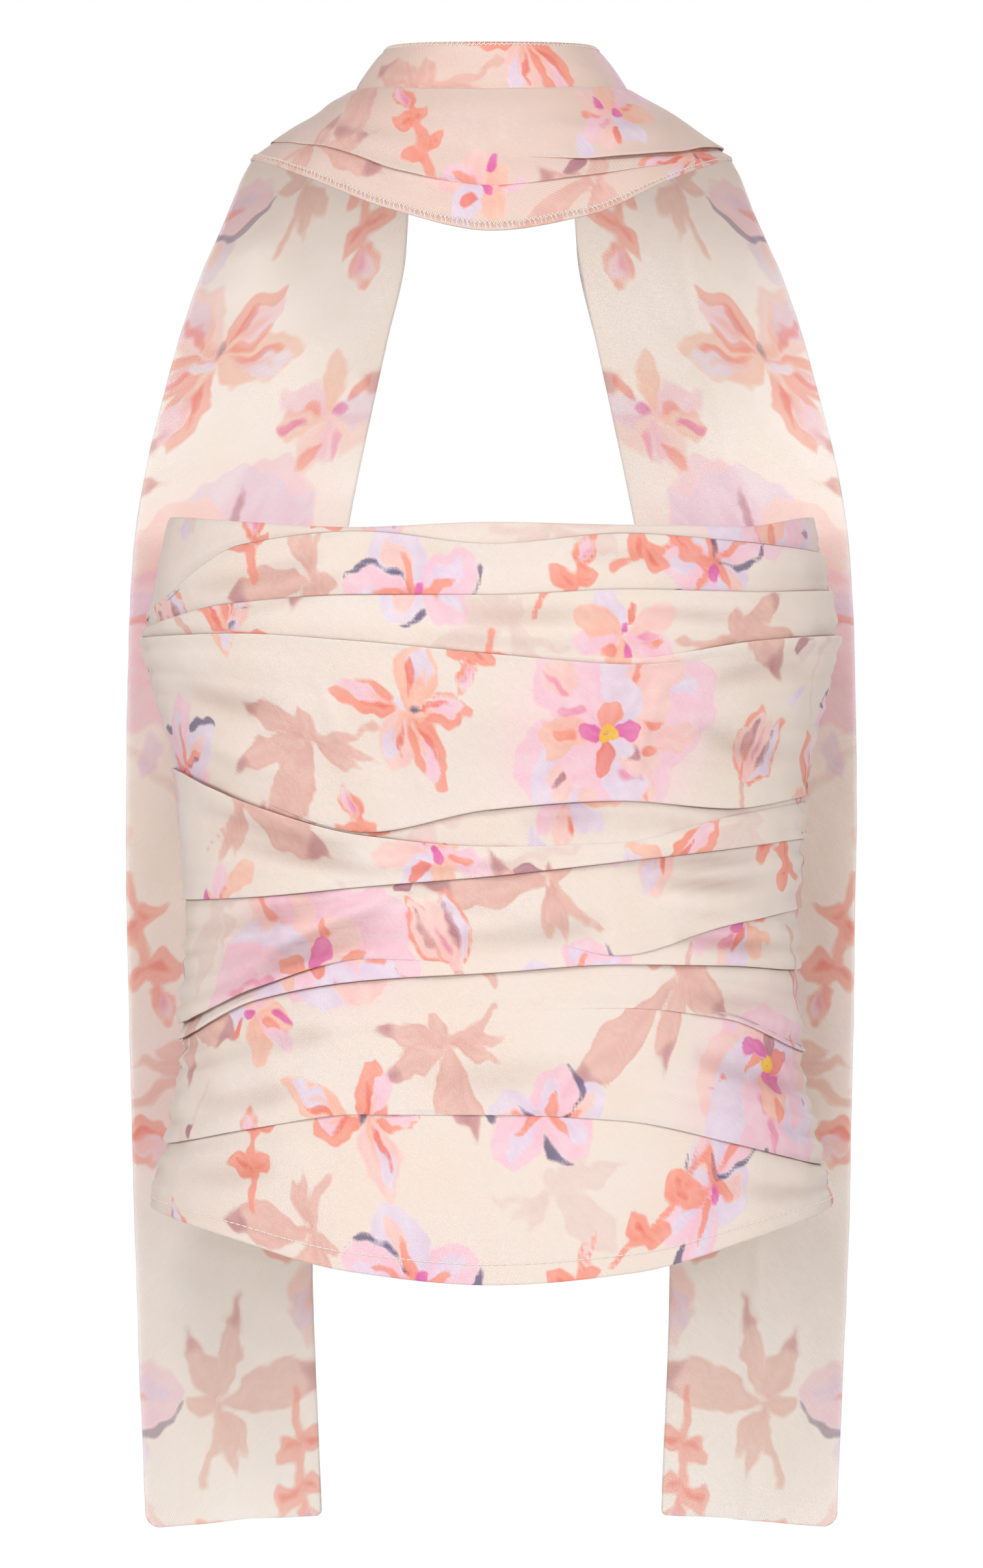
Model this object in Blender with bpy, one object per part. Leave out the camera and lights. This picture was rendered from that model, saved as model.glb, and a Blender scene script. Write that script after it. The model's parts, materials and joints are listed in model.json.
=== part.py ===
"""Ruched strapless corset top with its matching neck scarf, filled out as worn.

The frame is in metres: +Z up, the front faces -Y, and +X is the right side of a front view.
The origin is the middle of the bodice's hollow at the bust line, where the wearer's torso holds it.
Tables below are in millimetres and are turned into metres where they are read.
"""

import math

import bmesh
import bpy
import numpy as np

MM = 0.001

# Cloth and seams
BODICE_WALL = 1.4  # ruched cloth over its foundation
BACK_WALL = 1.4
SCARF_WALL = 1.2
SEAM_GAP = 0.3
SECTION_POWER = 2.3  # superellipse exponent of every level section of the bodice
FOLD_LIP = 0.7  # height over which a pleat's edge steps down to the cloth beside it
FOLD_ROLL = 11.0  # height over which a pleat swells towards its edge
PUFF = 1.1  # how far the cloth swells between two pleats
GATHER_DEPTH = 1.0
GATHER_REACH = 24.0  # how far the side gathers run into the panel
GATHER_ROWS = 3  # rows of points to one gather
QUARTER_ROUND = 185.0  # cloth from the centre front to a side seam
FRONT_COLUMNS = 27
FRONT_CROWDING = 1.45  # above 1 it sets the columns closer together near the side seams
BACK_COLUMNS = 10
BACK_ROWS = 22

# Level sections of the bodice: half width, depth in front of the side seams and behind them
BODICE_SECTIONS = (
    # height, half_width, front, back
    (60.0, 137.0, 96.0, 83.0),
    (30.0, 142.0, 109.0, 86.0),
    (0.0, 147.5, 117.0, 88.0),
    (-30.0, 141.5, 112.0, 87.0),
    (-60.0, 135.0, 102.5, 84.0),
    (-95.0, 132.0, 94.5, 81.0),
    (-132.0, 130.5, 91.5, 80.0),
    (-170.0, 131.5, 93.5, 85.0),
    (-210.0, 137.5, 97.5, 93.0),
    (-245.0, 147.0, 102.5, 100.0),
    (-285.0, 154.0, 106.0, 104.0),
)

# Stations across the front, from the left side seam (-1) to the right one (1)
ACROSS = (-1.0, -0.75, -0.4, 0.0, 0.4, 0.75, 1.0)

# Edges and pleats of the front, top to bottom. A pleat that faces up has the lower cloth in front.
FRONT_LINES = (
    # name, faces, heights at ACROSS, depths at ACROSS, rows of points down to the next line
    ("top_edge", "edge", (51, 47, 44, 46, 45, 45, 51),
     (0, 0, 0, 0, 0, 0, 0), 5),
    ("swag", "up", (9, 36.5, 42, 36.5, 41, 38, 35),
     (1.2, 1.8, 1.4, 1.2, 1.4, 1.6, 1.6), 4),
    ("bust_upper", "up", (3, 12, 15, 15, 17.5, 17, 19),
     (1.2, 2.0, 1.8, 1.2, 1.4, 1.8, 2.0), 4),
    ("bust_right", "up", (0.6, 1.5, -1.5, -7, -11, -3.5, 0),
     (0, 0, 0, 0, 0.3, 1.8, 2.2), 2),
    ("bust_left", "up", (-1, -0.4, -3.8, -9.5, -13.8, -9, -6),
     (2.2, 2.0, 1.8, 1.4, 1.0, 0, 0), 12),
    ("under_bust", "down", (-54, -69, -83.4, -73.7, -70.1, -73.4, -68),
     (0, 0, 1.2, 2.2, 2.0, 2.0, 1.6), 3),
    ("waist_upper", "up", (-56.5, -72.2, -85, -89.7, -88.2, -77.2, -71),
     (2.2, 2.2, 1.8, 1.0, 0.5, 0.5, 0.5), 5),
    ("waist", "down", (-112.6, -110.6, -106, -101.6, -95.7, -90.4, -86),
     (1.8, 2.0, 1.8, 2.0, 2.2, 2.0, 1.8), 4),
    ("waist_right", "down", (-118, -117, -114, -120, -135, -122.8, -116),
     (0, 0, 0, 0, 0.6, 2.0, 2.2), 4),
    ("hip_left", "down", (-165.8, -148.9, -136.4, -137.5, -137, -137.5, -138),
     (2.2, 2.0, 0.6, 0, 0, 0, 0), 2),
    ("hip", "down", (-172.8, -154.1, -145.3, -142, -138.8, -139.7, -142.6),
     (2.0, 2.0, 2.0, 2.2, 2.2, 2.0, 1.8), 5),
    ("hip_right", "down", (-180, -168, -160, -158, -157, -162, -178),
     (0, 0, 0, 0, 0.2, 1.0, 1.4), 8),
    ("hip_lower", "down", (-217, -208.5, -201.3, -201.3, -203.9, -214.9, -226),
     (1.6, 1.4, 1.2, 1.2, 1.2, 1.4, 1.6), 9),
    ("hem", "edge", (-244.4, -253.7, -266.7, -272.1, -267.3, -253.9, -244.2),
     (0, 0, 0, 0, 0, 0, 0), 0),
)


# Back panels: height of the top edge and hem at the side seam and at the centre back
BACK_TOP = (51.0, 44.0)
BACK_HEM = (-244.3, -246.0)

# Concealed zip at the centre back
ZIP_SLIT = 1.2  # gap between the two back edges
TAPE_WIDTH = 24.0
TAPE_WALL = 0.8
SLIDER_TOP = 42.0
SLIDER_SIZE = (5.4, 1.6, 10.0)  # width, thickness, height of its plate
CHEEK_SIZE = (0.8, 3.6, 3.8)
CHEEK_BEHIND_PIN = 1.2
NECK_SIZE = (0.6, 3.0, 7.0)
PIN_RADIUS = 0.6
PIN_DROP = 3.0  # pin below the slider's top
PULL_BORE = 0.9
PULL_BARREL = 1.6
PULL_BARREL_LENGTH = 3.0
PULL_LENGTH = 21.0
PULL_WIDTHS = (2.8, 5.0)
PULL_THICKNESS = 1.0
PULL_CORNER = 1.6

# Neck band: an upright strip round the front of the neck, between the two shoulder ridges
RIDGE_Y = 2.0
BAND_ROWS = (
    # height at the ridge, height at the centre, half_width, depth
    (253.0, 251.3, 44.6, 50.0),
    (248.5, 246.5, 49.0, 51.5),
    (243.0, 241.0, 53.2, 53.4),
    (237.5, 235.5, 56.8, 55.4),
    (233.0, 230.5, 59.4, 57.2),
)
BAND_COLUMNS = 23

# Cowl: the same strip folded over below the band. Widths and depths run from its fold to its hem.
COWL_STATIONS = (-1.0, -0.72, -0.4, 0.0, 0.4, 0.72, 1.0)
COWL_LINES = (
    # name, faces, heights, depths, rows of points down to the next line
    ("fold", "edge", (233.5, 232.5, 231.2, 230.5, 231.2, 232.5, 233.5), (0, 0, 0, 0, 0, 0, 0), 4),
    ("right_pleat", "down", (224, 218, 212, 206, 202.5, 205.5, 211.5), (0, 0, 0, 0.4, 1.8, 2.0, 1.6), 2),
    ("long_pleat", "down", (213, 206.5, 194.5, 184.5, 190, 200, 209), (2.0, 2.0, 1.8, 0.8, 1.2, 1.0, 0.6), 4),
    ("hem", "edge", (204.6, 191.5, 177.5, 168.3, 175.5, 191.5, 204.6), (0, 0, 0, 0, 0, 0, 0), 0),
)
COWL_HALF_WIDTH = (60.6, 103.5)
COWL_DEPTH = (59.8, 91.0)
COWL_COLUMNS = 31
COWL_BULGE = 3.0

# Scarf ends: sections across the right one, from the shoulder ridge down the back
TAIL_SECTIONS = (
    # inner edge x, y, z, outer edge x, y, z, bend x, z, bow y
    (45.0, 2.0, 252.6, 103.5, 2.0, 204.6, -2.6, -4.8, 0.0),
    (41.0, 28.0, 248.0, 108.0, 20.0, 199.0, -2.6, -4.4, 2.0),
    (37.5, 46.0, 233.0, 115.5, 38.0, 183.0, -1.4, -2.2, 3.0),
    (36.0, 60.0, 204.0, 126.5, 51.0, 160.0, 0.0, 0.0, 3.0),
    (37.6, 68.0, 170.0, 136.5, 56.0, 132.0, 0.0, 0.0, 3.0),
    (46.3, 74.0, 130.0, 145.5, 59.0, 100.0, 0.0, 0.0, 2.5),
    (55.0, 76.4, 90.0, 152.0, 57.9, 72.0, 0.0, 0.0, 2.5),
    (63.5, 78.9, 48.0, 156.8, 57.4, 40.0, 0.0, 0.0, 2.0),
    (71.0, 81.5, 0.0, 159.0, 56.9, 0.0, 0.0, 0.0, 1.5),
    (77.0, 83.4, -60.0, 160.0, 56.9, -60.0, 0.0, 0.0, 3.0),
    (79.2, 85.9, -130.0, 159.5, 56.9, -130.0, 0.0, 0.0, 4.0),
    (79.6, 88.4, -190.0, 158.2, 56.9, -190.0, 0.0, 0.0, 3.0),
    (79.5, 90.2, -245.0, 156.9, 57.4, -245.0, 0.0, 0.0, 2.0),
    (78.5, 90.9, -300.0, 155.2, 58.4, -300.0, 0.0, 0.0, 2.0),
    (76.8, 90.4, -345.0, 153.1, 58.9, -345.0, 0.0, 0.0, 3.0),
    (75.2, 89.9, -386.5, 151.4, 59.4, -389.0, 0.0, 0.0, 4.0),
)
TAIL_ROWS = 40
TAIL_COLUMNS = 7

CREAM = (0.91, 0.80, 0.70)
CREAM_PINK = (0.92, 0.76, 0.72)
ZIP_LACQUER = (0.88, 0.77, 0.68)


def smooth(stations, values, at):
    """Reads a table of values with a curve through every point that never overshoots them."""
    x = np.asarray(stations, float)
    y = np.asarray(values, float)
    if x[0] > x[-1]:
        x, y = x[::-1], y[::-1]
    step = np.diff(x)
    slope = np.diff(y) / step
    tangent = np.zeros_like(y)
    tangent[0], tangent[-1] = slope[0], slope[-1]
    for k in range(1, len(x) - 1):
        if slope[k - 1] * slope[k] > 0:
            heavy = 2 * step[k] + step[k - 1]
            light = step[k] + 2 * step[k - 1]
            tangent[k] = (heavy + light) / (heavy / slope[k - 1] + light / slope[k])
    at = np.clip(np.asarray(at, float), x[0], x[-1])
    k = np.clip(np.searchsorted(x, at, side="right") - 1, 0, len(step) - 1)
    h = step[k]
    s = (at - x[k]) / h
    return (
        (2 * s**3 - 3 * s**2 + 1) * y[k]
        + (s**3 - 2 * s**2 + s) * h * tangent[k]
        + (3 * s**2 - 2 * s**3) * y[k + 1]
        + (s**3 - s**2) * h * tangent[k + 1]
    )


def column(rows, k):
    return [row[k] for row in rows]


def superellipse(angle, half_width, depth):
    """Point and outward normal of a level section; angle 0 faces along depth, +-90 degrees is a side seam."""
    share = 2 / SECTION_POWER
    s, c = np.sin(angle), np.cos(angle)
    x = half_width * np.sign(s) * np.abs(s) ** share
    d = depth * np.abs(c) ** share
    nx = np.sign(s) * np.abs(s) ** (2 - share) / half_width
    nd = np.abs(c) ** (2 - share) / depth
    length = np.hypot(nx, nd)
    return x, d, nx / length, nd / length


def bodice_point(angle, height, side, out):
    """Points out mm outside the bodice's plain outer surface. side is -1 for the front, 1 for the back."""
    heights = column(BODICE_SECTIONS, 0)
    half_width = smooth(heights, column(BODICE_SECTIONS, 1), height)
    depth = smooth(heights, column(BODICE_SECTIONS, 2 if side < 0 else 3), height)
    x, d, nx, nd = superellipse(angle, half_width, depth)
    return np.stack([x + nx * out, side * (d + nd * out), height + 0 * x], axis=-1)


def across_of(angle):
    return np.sign(np.sin(angle)) * np.abs(np.sin(angle)) ** (2 / SECTION_POWER)


def pleated_rows(lines, stations, across):
    """Heights and relief of every row of points between the lines of a pleated piece."""
    heights = [smooth(stations, line[2], across) for line in lines]
    depths = [smooth(stations, line[3], across) for line in lines]
    rows, puffs = [], []
    for k, (name, faces, _, _, steps) in enumerate(lines):
        lip = 0 if faces == "edge" else FOLD_LIP / 2
        if faces != "edge":
            rows.append(heights[k] + lip)
            puffs.append(0 * across)
        rows.append(heights[k] - lip)
        puffs.append(0 * across)
        for step in range(1, steps):
            share = step / steps
            rows.append(heights[k] * (1 - share) + heights[k + 1] * share)
            tall = np.clip((heights[k] - heights[k + 1]) / 30, 0, 1)
            puffs.append(PUFF * tall * math.sin(math.pi * share))
    rows = np.array(rows)
    relief = np.array(puffs)
    for k, line in enumerate(lines):
        above = rows - heights[k]
        swell = depths[k] * np.exp(-np.abs(above) / FOLD_ROLL)
        if line[1] == "down":
            relief += np.where(above > 0, swell, 0)
        elif line[1] == "up":
            relief += np.where(above < 0, swell, 0)
    return rows, relief


def grid_skin(bm, points):
    """One grid of faces through a table of points, made as a plane grid whose corners are moved."""
    rows, columns = points.shape[:2]
    made = bmesh.ops.create_grid(bm, x_segments=columns - 1, y_segments=rows - 1, size=1)
    for vert in made["verts"]:
        c = round((vert.co.x + 1) / 2 * (columns - 1))
        r = round((vert.co.y + 1) / 2 * (rows - 1))
        vert.co = points[r, c] * MM


def wall_object(name, outer, inner, material):
    """A closed cloth wall between an outer and an inner table of points."""
    bm = bmesh.new()
    grid_skin(bm, outer)
    grid_skin(bm, inner)
    border = [edge for edge in bm.edges if edge.is_boundary]
    bmesh.ops.bridge_loops(bm, edges=border)
    bmesh.ops.recalc_face_normals(bm, faces=bm.faces)
    return finish_object(name, bm, material)


def finish_object(name, bm, material, origin=(0, 0, 0)):
    mesh = bpy.data.meshes.new(name)
    bm.to_mesh(mesh)
    bm.free()
    mesh.materials.append(material)
    mesh.shade_smooth()
    mesh.set_sharp_from_angle(angle=math.radians(50))
    obj = bpy.data.objects.new(name, mesh)
    obj.location = origin
    PARTS.objects.link(obj)
    return obj


def principled(name, color, roughness):
    material = bpy.data.materials.new(name)
    material.use_nodes = True
    shader = material.node_tree.nodes["Principled BSDF"]
    shader.inputs["Base Color"].default_value = (*color, 1)
    shader.inputs["Roughness"].default_value = roughness
    shader.inputs["Metallic"].default_value = 0
    return material


def bodice_front(material):
    """The ruched front: pleats and side gathers stand out from a plain inside."""
    even = np.linspace(-1, 1, FRONT_COLUMNS)
    crowded = np.sign(even) * (1 - (1 - np.abs(even)) ** FRONT_CROWDING)
    angle = crowded * math.pi / 2
    across = across_of(angle)
    heights, relief = pleated_rows(FRONT_LINES, ACROSS, across)
    from_seam = (1 - np.abs(crowded)) * QUARTER_ROUND
    gathers = np.cos(2 * math.pi * np.arange(len(heights)) / GATHER_ROWS)[:, None]
    relief = relief + GATHER_DEPTH * (0.5 + gathers) * np.exp(-from_seam / GATHER_REACH)
    angles = np.broadcast_to(angle, heights.shape)
    outer = bodice_point(angles, heights, -1, relief)
    inner = bodice_point(angles, heights, -1, -BODICE_WALL)
    return wall_object("bodice_front", outer, inner, material)


def back_skin(out):
    """Points on the right half of the back, from the side seam to the zip's slit."""
    slit_angle = (ZIP_SLIT / TAPE_WIDTH / SECTION_POWER) ** (SECTION_POWER / 2)
    angle = np.linspace(math.pi / 2, slit_angle, BACK_COLUMNS)[None, :]
    down = np.linspace(0, 1, BACK_ROWS)[:, None]
    inwards = np.cos(angle)
    top = BACK_TOP[0] + (BACK_TOP[1] - BACK_TOP[0]) * inwards
    hem = BACK_HEM[0] + (BACK_HEM[1] - BACK_HEM[0]) * inwards
    height = top + (hem - top) * down
    points = bodice_point(np.broadcast_to(angle, height.shape), height, 1, out)
    points[:, 0, 1] = SEAM_GAP
    points[:, -1, 0] = ZIP_SLIT / 2
    return points


def bodice_back(side, name, material):
    """A plain back panel from 0.3 mm behind the side seam to the zip's slit."""
    mirror = np.array([side, 1, 1])
    return wall_object(name, back_skin(0) * mirror, back_skin(-BACK_WALL) * mirror, material)


def zip_tape(material):
    """The zip's tape and coil, a flat strip that lies inside the two back edges."""
    edge, beside = back_skin(-BACK_WALL)[:, -1], back_skin(-BACK_WALL)[:, -2]
    skins = []
    for out in (-SEAM_GAP, -SEAM_GAP - TAPE_WALL):
        columns = []
        for x in (-TAPE_WIDTH / 2, 0, TAPE_WIDTH / 2):
            share = (abs(x) - edge[:, 0]) / (beside[:, 0] - edge[:, 0])
            point = edge + (beside - edge) * share[:, None]
            point[:, 0] = x
            point[:, 1] += out
            columns.append(point)
        skins.append(np.stack(columns, axis=1))
    return wall_object("zip_tape", skins[0], skins[1], material)


def box_at(bm, size, centre):
    made = bmesh.ops.create_cube(bm, size=1)
    for vert in made["verts"]:
        vert.co = [(c * s + m) * MM for c, s, m in zip(vert.co, size, centre)]


def add_union(target, name, build):
    """Joins a tool shape, kept in the tools' collection, to a target."""
    bm = bmesh.new()
    build(bm)
    mesh = bpy.data.meshes.new(name)
    bm.to_mesh(mesh)
    bm.free()
    tool = bpy.data.objects.new(name, mesh)
    tool.location = target.location
    tool.hide_render = True
    tool.display_type = "WIRE"
    TOOLS.objects.link(tool)
    union = target.modifiers.new(name, "BOOLEAN")
    union.operation = "UNION"
    union.object = tool


def turned_along_x(bm, inner, outer, length, segments=20):
    """A round bar (inner 0) or tube whose axis is X."""
    if inner == 0:
        made = bmesh.ops.create_cone(
            bm, cap_ends=True, segments=segments, radius1=outer * MM, radius2=outer * MM, depth=length * MM
        )
        for vert in made["verts"]:
            vert.co = (vert.co.z, vert.co.x, vert.co.y)
        bmesh.ops.recalc_face_normals(bm, faces=bm.faces)
        return
    corners = [(-length / 2, inner), (length / 2, inner), (length / 2, outer), (-length / 2, outer)]
    verts = [bm.verts.new((x * MM, 0, r * MM)) for x, r in corners]
    edges = [bm.edges.new((verts[k], verts[(k + 1) % 4])) for k in range(4)]
    turn = dict(cent=(0, 0, 0), axis=(1, 0, 0), angle=2 * math.pi, steps=segments, use_merge=True)
    bmesh.ops.spin(bm, geom=verts + edges, **turn)
    bmesh.ops.recalc_face_normals(bm, faces=bm.faces)


def zip_slider_and_pull(metal):
    """The slider outside the slit, its pin, and the pull tab that hangs from the pin."""
    slider_foot = SLIDER_TOP - SLIDER_SIZE[2]
    back_y = float(smooth(column(BODICE_SECTIONS, 0), column(BODICE_SECTIONS, 3), slider_foot))
    plate_y = back_y + SEAM_GAP + SLIDER_SIZE[1] / 2
    pin_y = plate_y + SLIDER_SIZE[1] / 2 + SEAM_GAP + PULL_BARREL
    pin_z = SLIDER_TOP - PIN_DROP

    bm = bmesh.new()
    box_at(bm, SLIDER_SIZE, (0, plate_y - pin_y, PIN_DROP - SLIDER_SIZE[2] / 2))
    pivot = (0, pin_y * MM, pin_z * MM)
    slider = finish_object("zip_slider", bm, metal, pivot)
    cheek_x = PULL_BARREL_LENGTH / 2 + SEAM_GAP + CHEEK_SIZE[0] / 2
    cheek_y = CHEEK_BEHIND_PIN - CHEEK_SIZE[1] / 2
    for side in (-1, 1):
        add_union(slider, f"cheek_{side}", lambda b, s=side: box_at(b, CHEEK_SIZE, (s * cheek_x, cheek_y, 0)))
    pin_length = 2 * cheek_x
    add_union(slider, "pin", lambda b: turned_along_x(b, 0, PIN_RADIUS, pin_length))
    neck_y = plate_y - pin_y - NECK_SIZE[1] / 2
    neck_z = PIN_DROP - SLIDER_SIZE[2] / 2
    add_union(slider, "neck", lambda b: box_at(b, NECK_SIZE, (0, neck_y, neck_z)))

    bm = bmesh.new()
    turned_along_x(bm, PULL_BORE, PULL_BARREL, PULL_BARREL_LENGTH)
    pull = finish_object("zip_pull", bm, metal, pivot)
    add_union(pull, "tab", pull_tab)


def pull_tab(bm):
    """A flat tab that widens from its barrel and ends in a rounded foot."""
    top = -(PULL_BORE + PULL_BARREL) / 2
    made = bmesh.ops.create_cube(bm, size=1)
    for vert in made["verts"]:
        low = vert.co.z < 0
        width = PULL_WIDTHS[1] if low else PULL_WIDTHS[0]
        z = -PULL_LENGTH if low else top
        vert.co = (vert.co.x * width * MM, vert.co.y * PULL_THICKNESS * MM, z * MM)
    foot = [edge for edge in bm.edges if all(v.co.z < -PULL_LENGTH * MM / 2 for v in edge.verts)]
    foot = [edge for edge in foot if abs(edge.verts[0].co.x - edge.verts[1].co.x) < 1e-6]
    rounding = dict(offset=PULL_CORNER * MM, segments=4, profile=0.5, affect="EDGES", material=-1)
    bmesh.ops.bevel(bm, geom=foot, **rounding)


def surface_normals(points):
    """Normals of a table of points, away from a viewer who sees its rows run down and its columns right."""
    down = np.gradient(points, axis=0)
    across = np.gradient(points, axis=1)
    normal = np.cross(across, down)
    return normal / np.linalg.norm(normal, axis=-1, keepdims=True)


def neck_band(material):
    """The upright stretch of the scarf round the front of the neck."""
    angle = np.linspace(-1, 1, BAND_COLUMNS) * math.pi / 2
    centred = np.cos(angle)
    ridge_y = RIDGE_Y - SEAM_GAP / 2
    rows = []
    for ridge, middle, half_width, depth in BAND_ROWS:
        height = ridge + (middle - ridge) * centred**2
        rows.append(np.stack([half_width * np.sin(angle), ridge_y - depth * centred, height], axis=-1))
    middle = np.array(rows)
    skins = []
    for out in (SCARF_WALL / 2, -SCARF_WALL / 2):
        points = middle - surface_normals(middle) * out
        points[:, [0, -1], 1] = ridge_y
        skins.append(points)
    return wall_object("scarf_neck_band", skins[0], skins[1], material)


def cowl(material):
    """The stretch folded over the band, spreading down to a curved hem."""
    angle = np.linspace(-1, 1, COWL_COLUMNS) * math.pi / 2
    heights, relief = pleated_rows(COWL_LINES, COWL_STATIONS, np.sin(angle))
    down = (heights[0] - heights) / (heights[0] - heights[-1])
    half_width = COWL_HALF_WIDTH[0] + (COWL_HALF_WIDTH[1] - COWL_HALF_WIDTH[0]) * down
    depth = COWL_DEPTH[0] + (COWL_DEPTH[1] - COWL_DEPTH[0]) * down + COWL_BULGE * np.sin(math.pi * down)
    ridge_y = RIDGE_Y - SEAM_GAP / 2
    plain = np.stack([half_width * np.sin(angle), ridge_y - depth * np.cos(angle), heights], axis=-1)
    skins = []
    for out in (relief + SCARF_WALL, 0 * relief):
        points = plain - surface_normals(plain) * out[..., None]
        points[:, [0, -1], 1] = ridge_y
        skins.append(points)
    return wall_object("scarf_cowl", skins[0], skins[1], material)


def tail_middle():
    """Points of the middle surface of the right scarf end."""
    length = [0.0]
    for a, b in zip(TAIL_SECTIONS, TAIL_SECTIONS[1:]):
        length.append(length[-1] + math.dist([(a[k] + a[k + 3]) / 2 for k in range(3)],
                                             [(b[k] + b[k + 3]) / 2 for k in range(3)]))
    at = np.linspace(0, length[-1], TAIL_ROWS)
    table = np.stack([smooth(length, column(TAIL_SECTIONS, k), at) for k in range(9)], axis=-1)
    share = np.linspace(0, 1, TAIL_COLUMNS)[None, :, None]
    inner, outer = table[:, None, 0:3], table[:, None, 3:6]
    bend = np.stack([table[:, 6], 0 * at, table[:, 7]], axis=-1)[:, None, :]
    bow = np.stack([0 * at, table[:, 8], 0 * at], axis=-1)[:, None, :]
    near_neck = 27 / 4 * share * (1 - share) ** 2
    points = inner + (outer - inner) * share + near_neck * bend + 4 * share * (1 - share) * bow
    return points


def scarf_tail(side, name, material):
    """A scarf end: over the shoulder, down the back and free below the hem."""
    middle = tail_middle()
    skins = []
    for out in (SCARF_WALL / 2, -SCARF_WALL / 2):
        points = middle + surface_normals(middle) * out
        points[0, :, 1] = RIDGE_Y + SEAM_GAP / 2
        points[..., 0] *= side
        skins.append(points)
    return wall_object(name, skins[0], skins[1], material)


def collection(name):
    made = bpy.data.collections.new(name)
    bpy.context.scene.collection.children.link(made)
    return made


for old in list(bpy.data.objects):
    bpy.data.objects.remove(old, do_unlink=True)
PARTS = collection("corset_top")
TOOLS = collection("corset_top_tools")

cloth = principled("bodice_cloth", CREAM, 0.6)
scarf_cloth = principled("scarf_cloth", CREAM_PINK, 0.6)
tape_cloth = principled("zip_tape_cloth", CREAM, 0.75)
lacquer = principled("zip_metal", ZIP_LACQUER, 0.4)

bodice_front(cloth)
bodice_back(-1, "bodice_back_left", cloth)
bodice_back(1, "bodice_back_right", cloth)
zip_tape(tape_cloth)
zip_slider_and_pull(lacquer)
neck_band(scarf_cloth)
cowl(scarf_cloth)
scarf_tail(-1, "scarf_tail_left", scarf_cloth)
scarf_tail(1, "scarf_tail_right", scarf_cloth)
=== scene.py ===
# %% [markdown]
# # A ruched corset top with its scarf
# The garment is shown filled out as worn, with no wearer. Its parts are a pleated and gathered front, two
# plain backs closed by a concealed zip, and one long scarf that lies round the neck and hangs down the
# back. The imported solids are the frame: every piece below lies on one of them.

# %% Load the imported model
import json
import math

import bmesh
import bpy
import numpy as np
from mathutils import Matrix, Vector

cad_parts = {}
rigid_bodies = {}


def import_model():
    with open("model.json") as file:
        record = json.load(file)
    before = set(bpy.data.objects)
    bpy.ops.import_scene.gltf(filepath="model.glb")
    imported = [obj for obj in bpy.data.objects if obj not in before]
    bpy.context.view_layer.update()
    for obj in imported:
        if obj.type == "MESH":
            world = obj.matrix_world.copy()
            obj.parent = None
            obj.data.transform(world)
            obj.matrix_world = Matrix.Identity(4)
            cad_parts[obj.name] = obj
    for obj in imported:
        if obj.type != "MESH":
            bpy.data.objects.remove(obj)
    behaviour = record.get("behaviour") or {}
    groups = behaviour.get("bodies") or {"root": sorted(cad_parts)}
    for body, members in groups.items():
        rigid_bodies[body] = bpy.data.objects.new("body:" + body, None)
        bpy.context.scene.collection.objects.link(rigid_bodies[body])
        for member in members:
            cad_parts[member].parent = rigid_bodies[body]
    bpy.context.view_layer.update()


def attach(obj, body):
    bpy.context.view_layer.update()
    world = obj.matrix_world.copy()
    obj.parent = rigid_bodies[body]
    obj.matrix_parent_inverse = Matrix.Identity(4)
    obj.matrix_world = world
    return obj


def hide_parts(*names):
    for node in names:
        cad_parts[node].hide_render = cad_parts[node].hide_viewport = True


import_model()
MM = 0.001

# %% [markdown]
# ## Camera, floor and light
# The photograph looks straight at the front from about the height of the waist, with no visible perspective
# lines, so a long lens far away suits it. Its light is very even: two broad lamps in front, a brighter one
# at each side and a smaller one above, which gives the pleats their shade. One more lights the back, and the
# camera sees white paper behind the garment.

# %% Camera and light
PHOTO_SIZE = (1512, 2411)
MM_PER_PIXEL = 0.28
PHOTO_CENTRE_HEIGHT = -63.3 * MM
CAMERA_DISTANCE = 3.2
FLOOR_HEIGHT = -0.95

seen_height = PHOTO_SIZE[1] * MM_PER_PIXEL * MM
camera_data = bpy.data.cameras.new("camera")
camera_data.sensor_width = 36
camera_data.lens = camera_data.sensor_width * CAMERA_DISTANCE / seen_height
camera = bpy.data.objects.new("camera", camera_data)
camera.location = (0, -CAMERA_DISTANCE, PHOTO_CENTRE_HEIGHT)
camera.rotation_euler = (math.radians(90), 0, 0)
bpy.context.scene.collection.objects.link(camera)
bpy.context.scene.camera = camera
bpy.context.scene.view_settings.view_transform = "Standard"


def soft_light(name, place, size, watts, color):
    """A square area light that points at the middle of the garment."""
    data = bpy.data.lights.new(name, "AREA")
    data.shape, data.size = "SQUARE", size
    data.energy, data.color = watts, color
    light = bpy.data.objects.new(name, data)
    light.location = place
    aim = Vector((0, 0, PHOTO_CENTRE_HEIGHT)) - Vector(place)
    light.rotation_euler = aim.to_track_quat("-Z", "Y").to_euler()
    bpy.context.scene.collection.objects.link(light)


soft_light("key", (-0.5, -2.3, 1.75), 0.7, 14.5, (1.0, 0.99, 0.98))
soft_light("right", (2.0, -1.6, 0.9), 1.4, 20.5, (1.0, 0.99, 0.98))
soft_light("left", (-2.0, -1.6, 0.6), 1.4, 20, (1.0, 0.99, 0.98))
soft_light("front_left", (-0.9, -3.1, 0.2), 1.0, 11.5, (1.0, 0.985, 0.975))
soft_light("front_right", (0.9, -3.1, 0.2), 1.0, 11.5, (1.0, 0.985, 0.975))
soft_light("back", (0.2, 2.8, 0.6), 2.0, 35, (1.0, 1.0, 1.0))

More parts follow.
